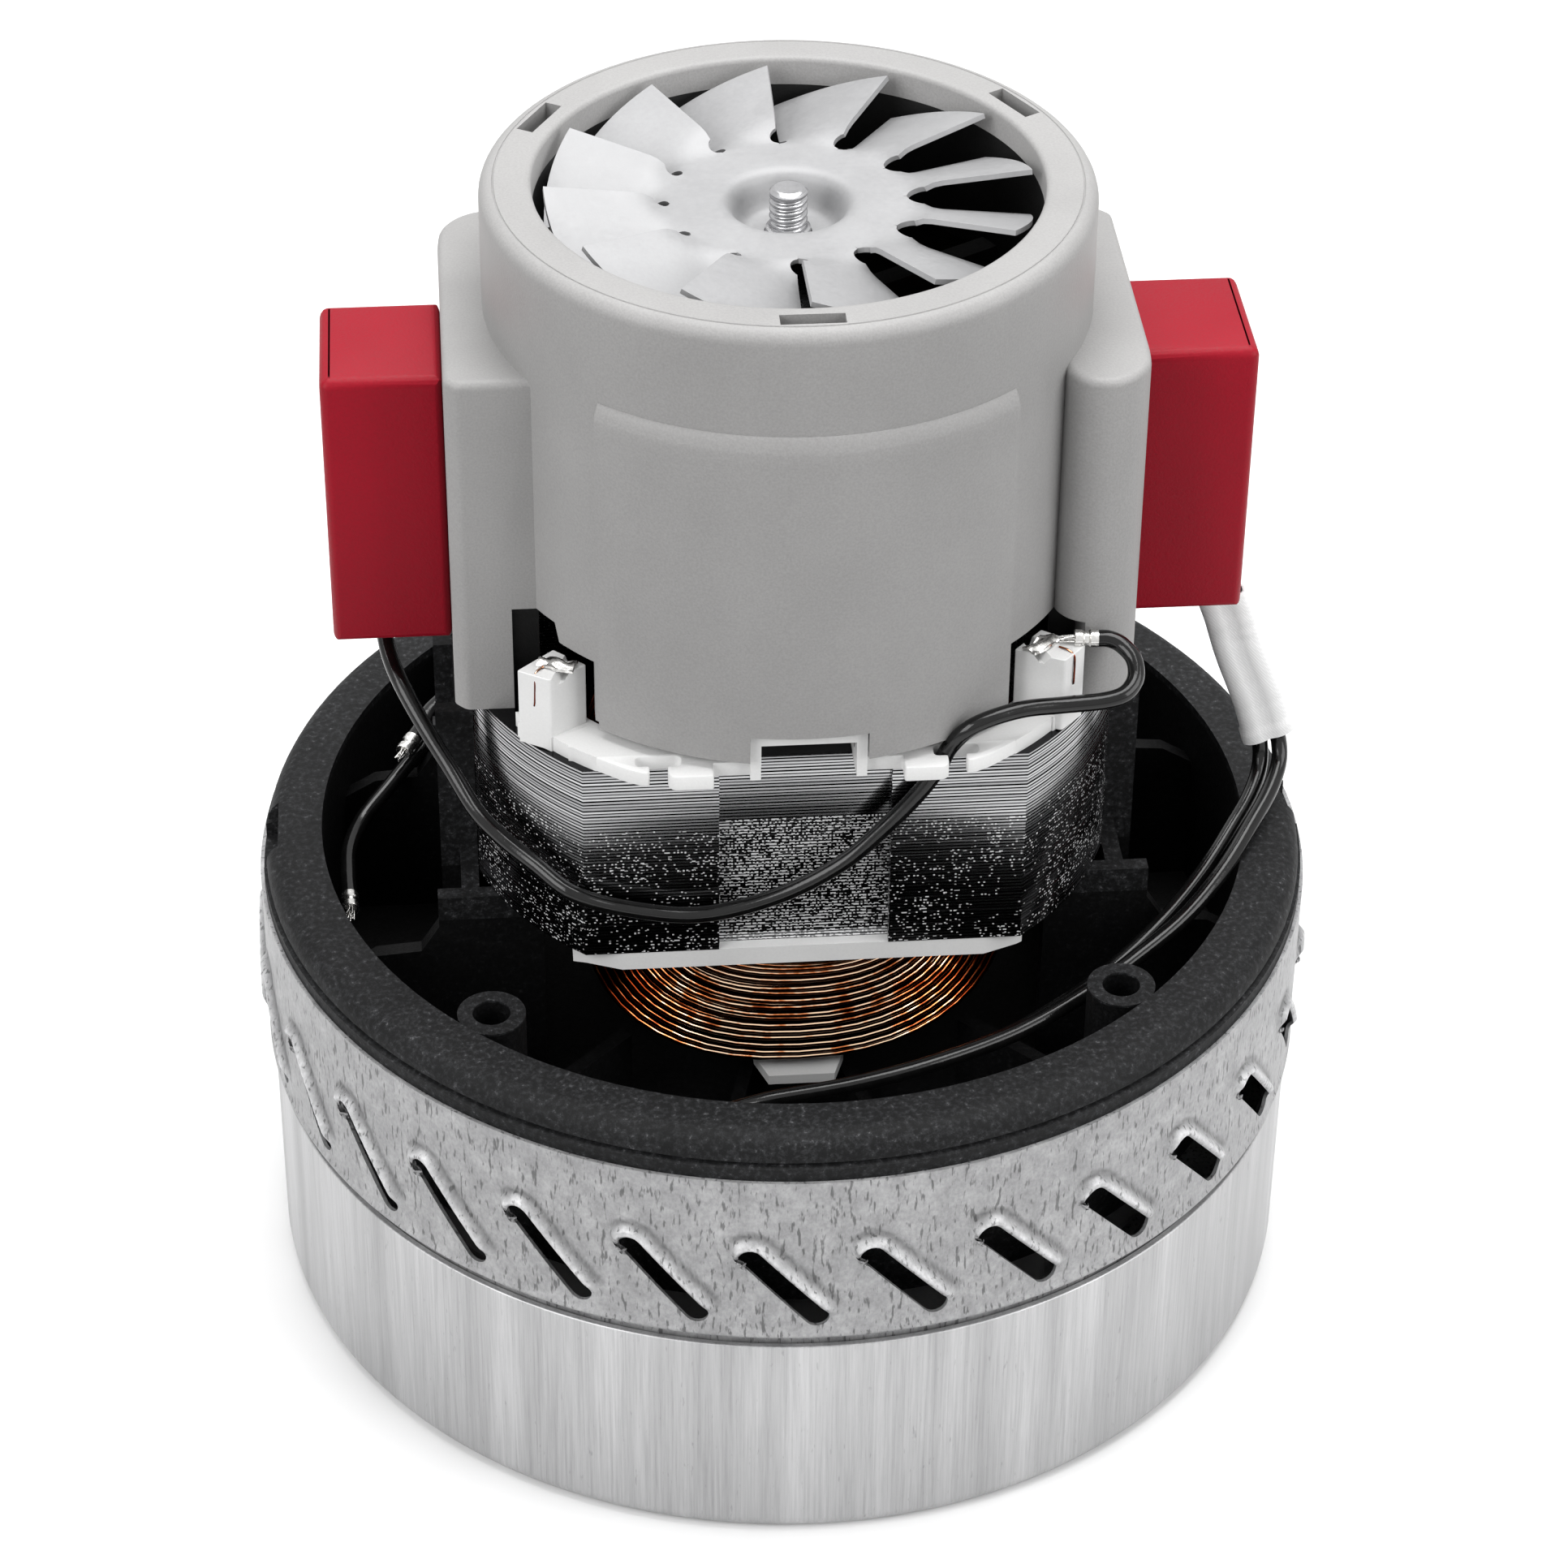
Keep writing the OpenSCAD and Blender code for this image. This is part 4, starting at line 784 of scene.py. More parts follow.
fanPlan = {
    "blades": 12, "flatZ": 163.2, "sheet": 0.7, "pitch": 22.0, "holeAt": 16.2, "holeR": 1.1, "slit": 0.3,
    "foldFrom": 14.6, "foldTo": 19.2, "crown": 0.25, "columns": 12, "seed": 4,
    "hub": [(3.05, 158.7), (4.6, 158.7), (5.4, 158.8), (6.0, 159.15), (6.5, 159.9), (6.9, 160.9),
            (7.3, 161.9), (7.75, 162.65), (8.4, 163.07), (9.3, 163.2), (11, 163.2), (13, 163.2), (14.4, 163.2)],
    "reach": [15.05, 15.12, 15.3, 15.6, 15.9, 16.2, 16.5, 16.8, 17.1, 17.26, 17.6, 18.4, 19.6, 21, 22.6, 24.4,
              26.2, 28, 29.6, 30.6, 31.0],
}


def makeFan(plan):
    chance = random.Random(plan["seed"])
    rows = plan["hub"] + [(r, plan["flatZ"]) for r in plan["reach"]]
    wide = 2 * math.pi / plan["blades"]
    verts, faces = [], []
    for first in evenAngles(plan["blades"]):
        start = len(verts)
        slope = math.tan(math.radians(plan["pitch"] + chance.uniform(-0.6, 0.6)))
        for r, z in rows:
            off = abs(r - plan["holeAt"])
            gap = math.sqrt(plan["holeR"] ** 2 - off ** 2) if off < plan["holeR"] else 0.0
            if r > plan["holeAt"]:
                gap = max(gap, plan["slit"])
            gap /= r
            lift = smoothStep(plan["foldFrom"], plan["foldTo"], r)
            for j in range(plan["columns"] + 1):
                angle = first + gap + (wide - 2 * gap) * j / plan["columns"]
                turn = angle - first - wide / 2
                crown = plan["crown"] * lift * math.cos(turn / wide * math.pi)
                height = z - slope * r * math.sin(turn) * lift + crown
                verts.append((r * math.cos(angle), r * math.sin(angle), height))
        faces += shifted(gridFaces(len(rows), plan["columns"] + 1, flip=True), start)
    fan = newPiece("coolingFan", verts, faces, "rotor", "fan_aluminium", ["cooling_fan"])
    welded(fan)
    smoothByAngle(fan, 50)
    thickened(fan, plan["sheet"])
    edgeBevel(fan, 0.1)


makeFan(fanPlan)
print("cooling fan pressed")


# shaft, with a rolled thread at its tip

shaftPlan = {
    "steps": 72, "pitch": 1.0, "threadR": 2.45, "depth": 0.42, "threadFrom": 159.7, "threadTo": 164.5,
    "threadRows": 60, "footEdge": [(0, 0.02), (0, 3.6), (0.4, 4.0)],
    "body": [(148.1, 4.0), (148.3, 3.8), (148.3, 3.0), (158.5, 3.0), (158.6, 2.9), (158.9, 2.9), (159.0, 2.7),
             (159.1, 2.9), (159.4, 2.86), (159.5, 2.5), (159.6, 2.45)],
    "tip": [(164.6, 2.35), (164.98, 1.85), (165.0, 1.7), (165.0, 0.9), (165.0, 0.02)],
}


def makeShaft(plan):
    foot = 1000 * min(v.co.z for v in cadNodes["shaft"].data.vertices)
    low, high = plan["threadFrom"], plan["threadTo"]
    rows = [(foot + up, r, 0) for up, r in plan["footEdge"]] + [(z, r, 0) for z, r in plan["body"]]
    for k in range(plan["threadRows"] + 1):
        z = low + (high - low) * k / plan["threadRows"]
        rows.append((z, plan["threadR"], min(smoothStep(0, 0.5, z - low), smoothStep(0, 0.5, high - z))))
    rows += [(z, r, 0) for z, r in plan["tip"]]
    verts = []
    for z, r, amount in rows:
        for step, angle in enumerate(evenAngles(plan["steps"])):
            turn = (z / plan["pitch"] - step / plan["steps"]) % 1
            flank = smoothStep(0.15, 0.85, 1 - abs(2 * turn - 1))
            radius = r - amount * plan["depth"] * (1 - flank)
            verts.append((radius * math.cos(angle), radius * math.sin(angle), z))
    shaft = newPiece("motorShaft", verts, gridFaces(len(rows), plan["steps"], wrap=True), "rotor",
                     "bright_steel", ["shaft"])
    smoothByAngle(shaft, 42)


makeShaft(shaftPlan)
print("shaft turned and threaded")


# stator: the stack's outline swept through its sheets, each a little out of line

stackPlan = {"sheets": 60, "groove": 0.2, "shift": 0.05, "seed": 11}


def boundaryLoops(faces):
    # closed loops of points round a set of faces
    chosen = set(faces)
    follow = {}
    for face in faces:
        for loop in face.loops:
            if sum(1 for other in loop.edge.link_faces if other in chosen) == 1:
                follow[loop.vert] = loop.link_loop_next.vert
    loops = []
    while follow:
        first = next(iter(follow))
        loop, vert = [], first
        while vert in follow:
            loop.append(vert)
            vert = follow.pop(vert)
        loops.append(loop)
    return loops


def makeStack(plan):
    # the wall round the outside is taken off and laid again sheet by sheet; the rest stays as it is
    work = bmesh.new()
    work.from_mesh(cadNodes["stator_core"].data)
    bmesh.ops.remove_doubles(work, verts=work.verts, dist=0.000005)
    work.normal_update()
    bottomZ, topZ = (1000 * pick(v.co.z for v in work.verts) for pick in (min, max))
    loops = boundaryLoops([f for f in work.faces if f.normal.z > 0.9])
    outer = max(loops, key=lambda loop: max(v.co.x for v in loop))
    ring = [(v.co.x * 1000, v.co.y * 1000) for v in outer]
    onRing = {(round(x, 3), round(y, 3)) for x, y in ring}
    walls = [f for f in work.faces if abs(f.normal.z) < 0.5
             and all((round(v.co.x * 1000, 3), round(v.co.y * 1000, 3)) in onRing for v in f.verts)]
    bmesh.ops.delete(work, geom=walls, context="FACES_ONLY")
    count = len(ring)
    outward = []
    for i in range(count):
        before, here, after = Vector(ring[i - 1]), Vector(ring[i]), Vector(ring[(i + 1) % count])
        one = (here - before).normalized()
        two = (after - here).normalized()
        side = Vector((one.y + two.y, -one.x - two.x)).normalized()
        outward.append(side / max(0.4, side.dot(Vector((one.y, -one.x)))))
    chance = random.Random(plan["seed"])
    sheet = (topZ - bottomZ) / plan["sheets"]
    rings = [(bottomZ, 0.0)]
    for k in range(plan["sheets"]):
        shift = chance.uniform(-plan["shift"], plan["shift"])
        base = bottomZ + k * sheet
        rings += [(base + 0.16 * sheet, shift), (base + 0.84 * sheet, shift)]
        rings.append((base + sheet, -plan["groove"] if k < plan["sheets"] - 1 else 0.0))
    made = []
    for z, out in rings:
        made.append([work.verts.new(inMetres((x + n.x * out, y + n.y * out, z)))
                     for (x, y), n in zip(ring, outward)])
    for lower, upper in zip(made, made[1:]):
        for i in range(count):
            n = (i + 1) % count
            work.faces.new((lower[i], lower[n], upper[n], upper[i]))
    bmesh.ops.remove_doubles(work, verts=work.verts, dist=0.000004)
    mesh = bpy.data.meshes.new("statorStack")
    work.to_mesh(mesh)
    work.free()
    piece = bpy.data.objects.new("statorStack", mesh)
    scene.collection.objects.link(piece)
    settle(piece, "housing", "lamination_steel", ["stator_core"])
    smoothByAngle(piece, 25)


makeStack(stackPlan)
print("stack of", stackPlan["sheets"], "sheets laid")


# field coils: one enamelled wire each, wound in four layers of fifteen turns

coilPlan = {"layers": 4, "across": 15, "pitch": 0.92, "wireR": 0.38, "halfWidth": 15.2, "bottomZ": 68.0,
            "topZ": 102.2, "drop": 5.6, "rise": 4.8, "lean": 3.5, "frontY": 26.3, "layerPitch": 0.88,
            "wander": 0.3, "ripple": 0.1, "perTurn": 44, "seed": 7,
            "parts": (0.5, 0.6, 0.9)}            # shares of a turn: up from here, over the top, down again


def coilTurns(plan):
    # each turn runs under the stack, up its right side, over the top and down its left side
    chance = random.Random(plan["seed"])
    half, last = plan["halfWidth"], plan["across"] - 1
    tall = plan["topZ"] - plan["bottomZ"]
    up, over, down = plan["parts"]
    points = []
    turns = plan["layers"] * plan["across"]
    waves = [(chance.uniform(0, 6.28), chance.uniform(0, 6.28), chance.uniform(0.5, 1.0)) for _ in range(turns + 1)]
    for turn in range(turns):
        layer, place = divmod(turn, plan["across"])
        one, two, much = waves[turn]
        nextOne, nextTwo, nextMuch = waves[turn + 1]
        for step in range(plan["perTurn"]):
            u = step / plan["perTurn"]
            spot = min(place + u, last)
            if layer % 2 == 0:
                spot = last - spot
            deep = plan["frontY"] - plan["layerPitch"] * (layer + (u if place == last else 0))
            sway = (1 - u) * much * math.sin(7 * u + one) + u * nextMuch * math.sin(7 * (u - 1) + nextOne)
            grow = spot * plan["pitch"] + plan["wander"] * sway
            deep += plan["ripple"] * ((1 - u) * math.sin(9 * u + two) + u * math.sin(9 * (u - 1) + nextTwo))
            if u < up:
                a = math.pi * u / up
                full = math.copysign(abs(math.cos(a)) ** 0.88, math.cos(a))
                points.append((-(half + grow) * full, -deep - plan["lean"] * math.sin(a),
                               plan["bottomZ"] - (plan["drop"] + grow * 1.2) * math.sin(a)))
            elif u < over:
                points.append((half + grow, -deep, plan["bottomZ"] + tall * (u - up) / (over - up)))
            elif u < down:
                a = math.pi * (u - over) / (down - over)
                out = Vector((plan["rise"] * math.cos(a), half * math.sin(a))).normalized() * grow * 0.87
                points.append((half * math.cos(a) + out.x, -deep, plan["topZ"] + plan["rise"] * math.sin(a) + out.y))
            else:
                points.append((-(half + grow), -deep, plan["topZ"] - tall * (u - down) / (1 - down)))
    return points


def makeCoils(plan):
    turns = coilTurns(plan)
    for name, node, side in (("frontFieldCoil", "front_field_coil", 1), ("rearFieldCoil", "rear_field_coil", -1)):
        run = [(x * side, y * side, z) for x, y, z in turns]
        coil = wireCurve(name, [run], plan["wireR"], 2)
        settle(coil, "housing", "enamelled_copper", [node])


makeCoils(coilPlan)
print("field coils wound:", coilPlan["layers"] * coilPlan["across"], "turns each")


# louvre shell: one tile round a slot, repeated, with its pressed hood

shellPlan = {"radius": 72.4, "sheet": 0.5, "slots": 29, "first": -156.4, "slotZ": 44.25, "lean": 49.4,
             "half": 6.6, "slotR": 1.65, "tileLow": 36.9, "tileHigh": 61.3, "rings": 18, "ridge": 1.05,
             "ridgeAt": 2.3, "ridgeReach": 1.45, "fadeBefore": 1.2, "fadeAfter": 1.9, "ripple": 0.02,
             "shadeHalf": 0.7, "highlightHalf": 0.8, "sides": 22, "ends": 10, "crowding": 1.25, "ringPower": 1.5}
shellRows = [(72.4, 61.9), (72.4, 61.6)]
beadRows = [(72.42, 36.5), (72.6, 36.1), (72.62, 35.8), (72.45, 35.5), (72.0, 35.3), (71.4, 35.15), (71.0, 34.9),
            (70.9, 34.4), (70.9, 24.5)]


def hoodHeight(plan, u, z):
    # how far the sheet stands out at u along the round and at height z, seen from the slot's middle:
    # a ridge beside the slot's upper side and round its upper end, that stops short at the lower one;
    # the second value is 1 for a painted highlight on its crest and below 0 for painted shade at its foot
    lean = math.radians(plan["lean"])
    along = u * math.cos(lean) - z * math.sin(lean)
    across = u * math.sin(lean) + z * math.cos(lean)
    if along < -plan["half"]:
        away = abs(math.hypot(along + plan["half"], across) - plan["ridgeAt"])
    else:
        away = abs(across - plan["ridgeAt"])
    side = smoothStep(-plan["ridgeAt"], -0.3, across)
    ending = 1 - smoothStep(plan["half"] - plan["fadeBefore"], plan["half"] + plan["fadeAfter"], along)
    ripple = plan["ripple"] * math.sin(6.3 * along) * smoothStep(0.2, 2, across)
    part = side * ending
    outside = smoothStep(1.6, 2.6, across - 0.6 * min(0, along + plan["half"]))
    # painted shade along the ridge's foot, and a painted highlight on its crest
    foot = part * max(0, 1 - abs(away - plan["ridgeReach"]) / plan["shadeHalf"]) * outside
    crest = part * (1 - smoothStep(0, plan["highlightHalf"], away))
    return (plan["ridge"] + ripple) * part * (1 - smoothStep(0, plan["ridgeReach"], away)), crest - foot


def slotOutline(plan, count):
    # evenly spaced points round the slot, from its lower side, turning to the left in the plane
    lean = math.radians(plan["lean"])
    straight, r = 2 * plan["half"], plan["slotR"]
    whole = 2 * straight + 2 * math.pi * r
    points = []
    for k in range(count):
        d = whole * k / count
        if d < straight:
            a, b = -plan["half"] + d, -r
        elif d < straight + math.pi * r:
            t = (d - straight) / r
            a, b = plan["half"] + r * math.sin(t), -r * math.cos(t)
        elif d < 2 * straight + math.pi * r:
            a, b = plan["half"] - (d - straight - math.pi * r), r
        else:
            t = (d - 2 * straight - math.pi * r) / r
            a, b = -plan["half"] - r * math.sin(t), r * math.cos(t)
        points.append(Vector((a * math.cos(lean) + b * math.sin(lean), -a * math.sin(lean) + b * math.cos(lean))))
    return points


def makeLouvreShell(plan):
    radius = plan["radius"]
    wide = 2 * math.pi * radius / plan["slots"]
    sides, ends = plan["sides"], plan["ends"]
    climb = [(k / sides) ** plan["crowding"] for k in range(sides + 1)]      # closer together low down
    low, high = plan["tileLow"] - plan["slotZ"], plan["tileHigh"] - plan["slotZ"]
    frameRing = [Vector((-wide / 2 + wide * k / ends, low)) for k in range(ends)]
    frameRing += [Vector((wide / 2, low + (high - low) * climb[k])) for k in range(sides)]
    frameRing += [Vector((wide / 2 - wide * k / ends, high)) for k in range(ends)]
    frameRing += [Vector((-wide / 2, low + (high - low) * climb[sides - k])) for k in range(sides)]
    count = len(frameRing)
    slot = slotOutline(plan, count)
    shift = min(range(count), key=lambda s: sum((slot[(k + s) % count] - frameRing[k]).length for k in range(count)))
    slot = slot[shift:] + slot[:shift]
    tile = []
    for m in range(plan["rings"] + 1):
        f = (m / plan["rings"]) ** plan["ringPower"]
        tile += [slot[k].lerp(frameRing[k], f) for k in range(count)]
    verts, faces, hoodLightShade = [], [], []

    def onShell(u, z, index):
        pressed = [hoodHeight(plan, u + step * wide, z) for step in (-1, 0, 1)]
        height = sum(one for one, two in pressed)
        hoodLightShade.append(sum(two for one, two in pressed))
        angle = math.radians(plan["first"]) + 2 * math.pi * index / plan["slots"] + u / radius
        return ((radius + height) * math.cos(angle), (radius + height) * math.sin(angle), z + plan["slotZ"])

    for index in range(plan["slots"]):
        start = len(verts)
        verts += [onShell(p.x, p.y, index) for p in tile]
        faces += shifted(gridFaces(plan["rings"] + 1, count, wrap=True, flip=True), start)
    angles = [math.radians(plan["first"]) + (-wide / 2 + wide * k / ends) / radius
              for k in range(plan["slots"] * ends)]
    for rows in ([shellRows[0], shellRows[1], (radius, plan["tileHigh"])], [(radius, plan["tileLow"])] + beadRows):
        faces += shifted(gridFaces(len(rows), len(angles), wrap=True, flip=True), len(verts))
        verts += ringPoints(rows, angles)
    shell = newPiece("louvreShell", verts, faces, "housing", "galvanised_steel", ["louvre_shell"])
    # the hoods' painted highlight and painted shade, kept on the shell's points for its finish
    layer = shell.data.attributes.new("hoodLightShade", "FLOAT", "POINT")
    layer.data.foreach_set("value", hoodLightShade + [0.0] * (len(verts) - len(hoodLightShade)))
    welded(shell, 0.01)
    smoothByAngle(shell, 50)
    thickened(shell, plan["sheet"])


makeLouvreShell(shellPlan)
print("louvre shell pressed:", shellPlan["slots"], "slots")


# intake can: drawn in one piece, with a rolled intake

canPlan = {"profile": [(19, 0, 0.4), (72, 0, 2.4), (72, 33.4, 0.35), (71, 33.4, 0.35), (71, 1, 1.4), (20, 1, 0.8),
                       (20, 3.5, 0.4), (19, 3.5, 0.4)], "steps": 256}


def makeCan(plan):
    profile = roundedProfile(plan["profile"], 6)
    verts = ringPoints(profile + profile[:1], evenAngles(plan["steps"]))
    can = newPiece("intakeCan", verts, gridFaces(len(profile) + 1, plan["steps"], wrap=True), "housing",
                   "can_aluminium", ["intake_can"])
    welded(can)
    smoothByAngle(can, 30)


makeCan(canPlan)
print("can drawn")


# mouldings: the source's shapes with their edges rounded off as a mould leaves them

mouldings = {                                            # name, slot, width of the rounding, its steps
    "motor_bracket": ("motorBracket", "black_moulding", 0.35, 3),
    "left_brush_box": ("leftBrushBox", "red_moulding", 0, 0),
    "right_brush_box": ("rightBrushBox", "red_moulding", 0, 0),
    "upper_insulator": ("upperInsulator", "white_moulding", 0, 0),
    "lower_insulator": ("lowerInsulator", "white_moulding", 0.2, 2),
}
insulatorPlan = {
    "finger": [(6.1, -33.4, 0), (6.1, -37.0, 0), (12.2, -37.0, 0.3), (12.2, -39.75, 0.35), (17.95, -39.75, 1.5),
               (17.95, -37.2, 0.3), (16.2, -37.2, 0.7), (16.2, -35.0, 0.9), (22.0, -35.0, 0.9), (22.0, -37.0, 0.7),
               (20.3, -37.0, 0.3), (20.3, -38.9, 1.3), (23.2, -37.55, 1.2), (25.3, -36.0, 0.5), (27.02, -34.7, 0),
               (27.02, -33.4, 0)],
    "posts": [[(-36.6, -27.6, 0.3), (-32.5, -30.05, 0.4), (-27.7, -26.9, 0.3), (-31.8, -23.2, 0.3)],
              [(27.4, -27.3, 0.3), (33.6, -30.2, 0.4), (36.7, -26.9, 0.3), (31.4, -23.0, 0.3)]],
    "fingerLevels": [(100.31, 0.1), (100.42, 0), (102.25, 0), (102.42, 0.07), (102.49, 0.22)],
    "postLevels": [(100.5, 0), (111.4, 0), (111.5, 0.08)],
    "grooves": [(-30.3, -27.0, 20), (30.1, -27.0, -20)], "grooveHalf": 0.8, "grooveFloor": 110.3,
    "grooveTop": 111.8, "grooveReach": 7,
    "cuts": [((-27, -50, 100.2), (27, -34.7, 102.52)), ((27.4, -31.5, 102.54), (37.6, -21.5, 113)),
             ((-37.6, -31.5, 102.54), (-27.4, -21.5, 113))],
    "frameCut": [((-6.1, -38.6, 100.25), (6.1, -30.4, 105.8))],
    "frameFeet": [((-7.47, -38.37, 100.5), (-6.13, -35.2, 103.2)), ((6.13, -38.37, 100.5), (7.47, -35.2, 103.2))],
}
boxPlan = {
    "inner": 44.6,
    "outline": [(44.6, -9.88, 0), (60.18, -9.88, 1.3), (60.18, 9.88, 1.3), (44.6, 9.88, 0)],
    "levels": [(104.62, 0.9), (104.72, 0.5), (104.95, 0.2), (105.4, 0), (143.2, 0), (143.65, 0.12), (144.1, 0.4),
               (144.4, 0.8), (144.58, 1.4)],
    "neck": ((37.3, -8.2, 110.0), (44.9, 8.2, 139.2)),
}


def finishInsulator(piece, plan):
    # the plate's fingers with their hooked gaps, the open frame, and the grooved tops of the posts
    combine(piece, blockPiece("plateCuts", plan["cuts"]), "DIFFERENCE")
    combine(piece, blockPiece("frameCut", plan["frameCut"]), "DIFFERENCE")
    outline = roundedProfile(plan["finger"])
    for side in (1, -1):
        verts, faces = prismRings(outline, plan["fingerLevels"])
        combine(piece, toolPiece("fingers", [(x * side, y, z) for x, y, z in verts], faces), "UNION")
    combine(piece, blockPiece("frameFeet", plan["frameFeet"]), "UNION")
    half, reach = plan["grooveHalf"], plan["grooveReach"]
    wide = half + 0.25
    for outline, (x, y, turn) in zip(plan["posts"], plan["grooves"]):
        post = toolPiece("post", *prismRings(roundedProfile(outline, 4), plan["postLevels"]))
        a = math.radians(turn)
        corners = [(x + across * math.cos(a) + along * math.sin(a), y - across * math.sin(a) + along * math.cos(a))
                   for across, along in ((-wide, -reach), (wide, -reach), (wide, reach), (-wide, reach))]
        levels = [(plan["grooveFloor"], half), (plan["grooveTop"], 0)]
        combine(post, toolPiece("groove", *prismRings(corners, levels)), "DIFFERENCE")
        combine(piece, post, "UNION")
    smoothByAngle(piece, 30)


def roundBox(piece, side, plan):
    # the box's outer edges, rounded as in the mould
    verts, faces = prismRings(roundedProfile(plan["outline"]), plan["levels"])
    hull = toolPiece("boxHull", [(side * (plan["inner"] if x < 46.5 else x), y, z) for x, y, z in verts], faces)
    (x, y, z), (farX, farY, farZ) = plan["neck"]
    neck = ((x, y, z), (farX, farY, farZ)) if side > 0 else ((-farX, y, z), (-x, farY, farZ))
    combine(hull, blockPiece("boxNeck", [neck]), "UNION")
    combine(piece, hull, "INTERSECT")
    smoothByAngle(piece, 30)


for nodeName, (pieceName, slotName, width, segments) in mouldings.items():
    piece = softened(nodeName, pieceName, slotName, width, segments)
    if nodeName == "upper_insulator":
        finishInsulator(piece, insulatorPlan)
    if nodeName in ("left_brush_box", "right_brush_box"):
        roundBox(piece, -1 if nodeName == "left_brush_box" else 1, boxPlan)
print("mouldings softened:", len(mouldings))


# metal clips pressed into the posts' grooves, and the enamelled wires that run down from them

clipPlan = {"clips": [((-31.4, -27.0, 111.75), -22, 4.9, 2.3), ((30.9, -26.9, 111.8), 42, 4.9, 2.2)],
            "wires": [[(-32.6, -27.0, 111.5), (-33.6, -27.6, 111.7), (-34.3, -28.4, 111.4), (-34.35, -28.85, 110.4),
                       (-34.4, -28.85, 108.6), (-34.45, -28.85, 107.3), (-34.5, -28.75, 106.7), (-34.3, -28.2, 106.5)],
                      [(33.2, -27.2, 111.6), (34.2, -28.1, 111.7), (34.95, -28.75, 111.2), (35.05, -28.95, 110.0),
                       (35.05, -28.95, 108.4), (35.05, -28.9, 107.2), (35.0, -28.75, 106.8), (34.7, -28.5, 106.6)]],
            "wireR": 0.13, "sheet": 0.35, "rows": 17, "columns": 11, "waist": 0.12, "curl": 0.26, "lip": 0.9,
            "dent": 0.11, "rough": 0.06, "seed": 9}


def makeClips(plan):
    chance = random.Random(plan["seed"])
    rows, columns = plan["rows"], plan["columns"]
    verts, faces = [], []
    for (x, y, z), turn, length, width in plan["clips"]:
        a = math.radians(turn)
        start = len(verts)
        waves = [(chance.uniform(0, 6.28), chance.uniform(1.5, 3.2)) for _ in range(3)]
        for i in range(rows):
            t = i / (rows - 1) - 0.5
            for j in range(columns):
                s = j / (columns - 1) - 0.5
                along, across = length * t, width * s * (1 + plan["waist"] * math.sin(9 * t + 1))
                height = plan["curl"] * math.cos(2.2 * math.pi * s) + plan["lip"] * abs(s) ** 3
                height += plan["dent"] * sum(math.sin(speed * 4 * t + 5 * s * k + first)
                                             for k, (first, speed) in enumerate(waves))
                height += chance.uniform(-plan["rough"], plan["rough"])
                verts.append((x + along * math.cos(a) - across * math.sin(a),
                              y + along * math.sin(a) + across * math.cos(a), z + height))
        faces += shifted(gridFaces(rows, columns), start)
    clips = newPiece("postClips", verts, faces, "housing", "tinned_brass", ["post_terminals"])
    smoothByAngle(clips, 50)
    thickened(clips, plan["sheet"])
    wires = wireCurve("postWires", [smoothRoute(run, 5) for run in plan["wires"]], plan["wireR"], 2)
    settle(wires, "housing", "enamelled_copper")


makeClips(clipPlan)
print("clips pressed in")


# commutator cover: a round body with a raised panel at the front and back, and two ears

coverPlan = {
    "radius": 39.2, "innerR": 37.0, "low": 104.0, "top": 166.6, "shoulder": 2.0, "openingR": 32.5, "ductZ": 145.0,
    "panelOut": 1.1, "panelHalf": 41.1, "panelTop": 152.2, "panelSlope": 2.1, "panelSide": 0.22,
    "ear": [(33.2, -19.6, 0), (33.4, -21.6, 0.9), (35.0, -23.9, 2.2), (38.3, -25.1, 2.6), (41.8, -23.6, 2.8),
            (44.2, -20.6, 2.6), (44.6, -17, 2), (44.6, 18.4, 0.5), (43.1, 20, 0.7), (31.9, 20, 0), (31.9, 0, 0)],
    "earTop": 149.7, "earRound": 1.1, "stackTop": 100.3, "hollowR": 38.0,
    "seat": [(9.2, 140), (13.6, 140), (13.6, 148), (11.0, 148), (11.0, 141), (9.2, 141)],
    "spoke": (12.5, 38.0, 1.5), "spokeLevels": [(142, 0), (147, 0)],
    "ribSlot": (34.45, 36.75, 4), "ribSlotLevels": [(162.1, 0), (168.1, 0)],
    "cuts": [((-7.6, -50, 100), (7.6, -30, 108)), ((-7.6, 30, 100), (7.6, 50, 108)),
             ((30, -8, 110.1), (50, 8, 139.1)), ((-50, -8, 110.1), (-30, 8, 139.1))],
    "leftWindow": [(26.7, 99.3), (26.7, 113.1), (31.0, 113.1), (31.5, 115.8), (36.9, 115.8), (36.9, 99.3)],
    "rightWindow": [(26.7, 99.3), (26.7, 113.4), (36.9, 113.4), (36.9, 99.3)],
}


def panelRadius(plan, angle, z):
    # the body's radius, with the panels standing out softly
    turn = abs((math.degrees(angle) + 90) % 180)
    turn = min(turn, 180 - turn)
    inside = math.radians(plan["panelHalf"] - turn) * plan["radius"]
    below = plan["panelTop"] - z
    side = math.sqrt(1 - (1 - min(1, max(0, inside) / plan["panelSide"])) ** 2)
    share = min(1, max(0, below) / plan["panelSlope"])
    slope = 0.55 * math.sqrt(1 - (1 - share) ** 2) + 0.45 * share
    return plan["radius"] + plan["panelOut"] * side * slope


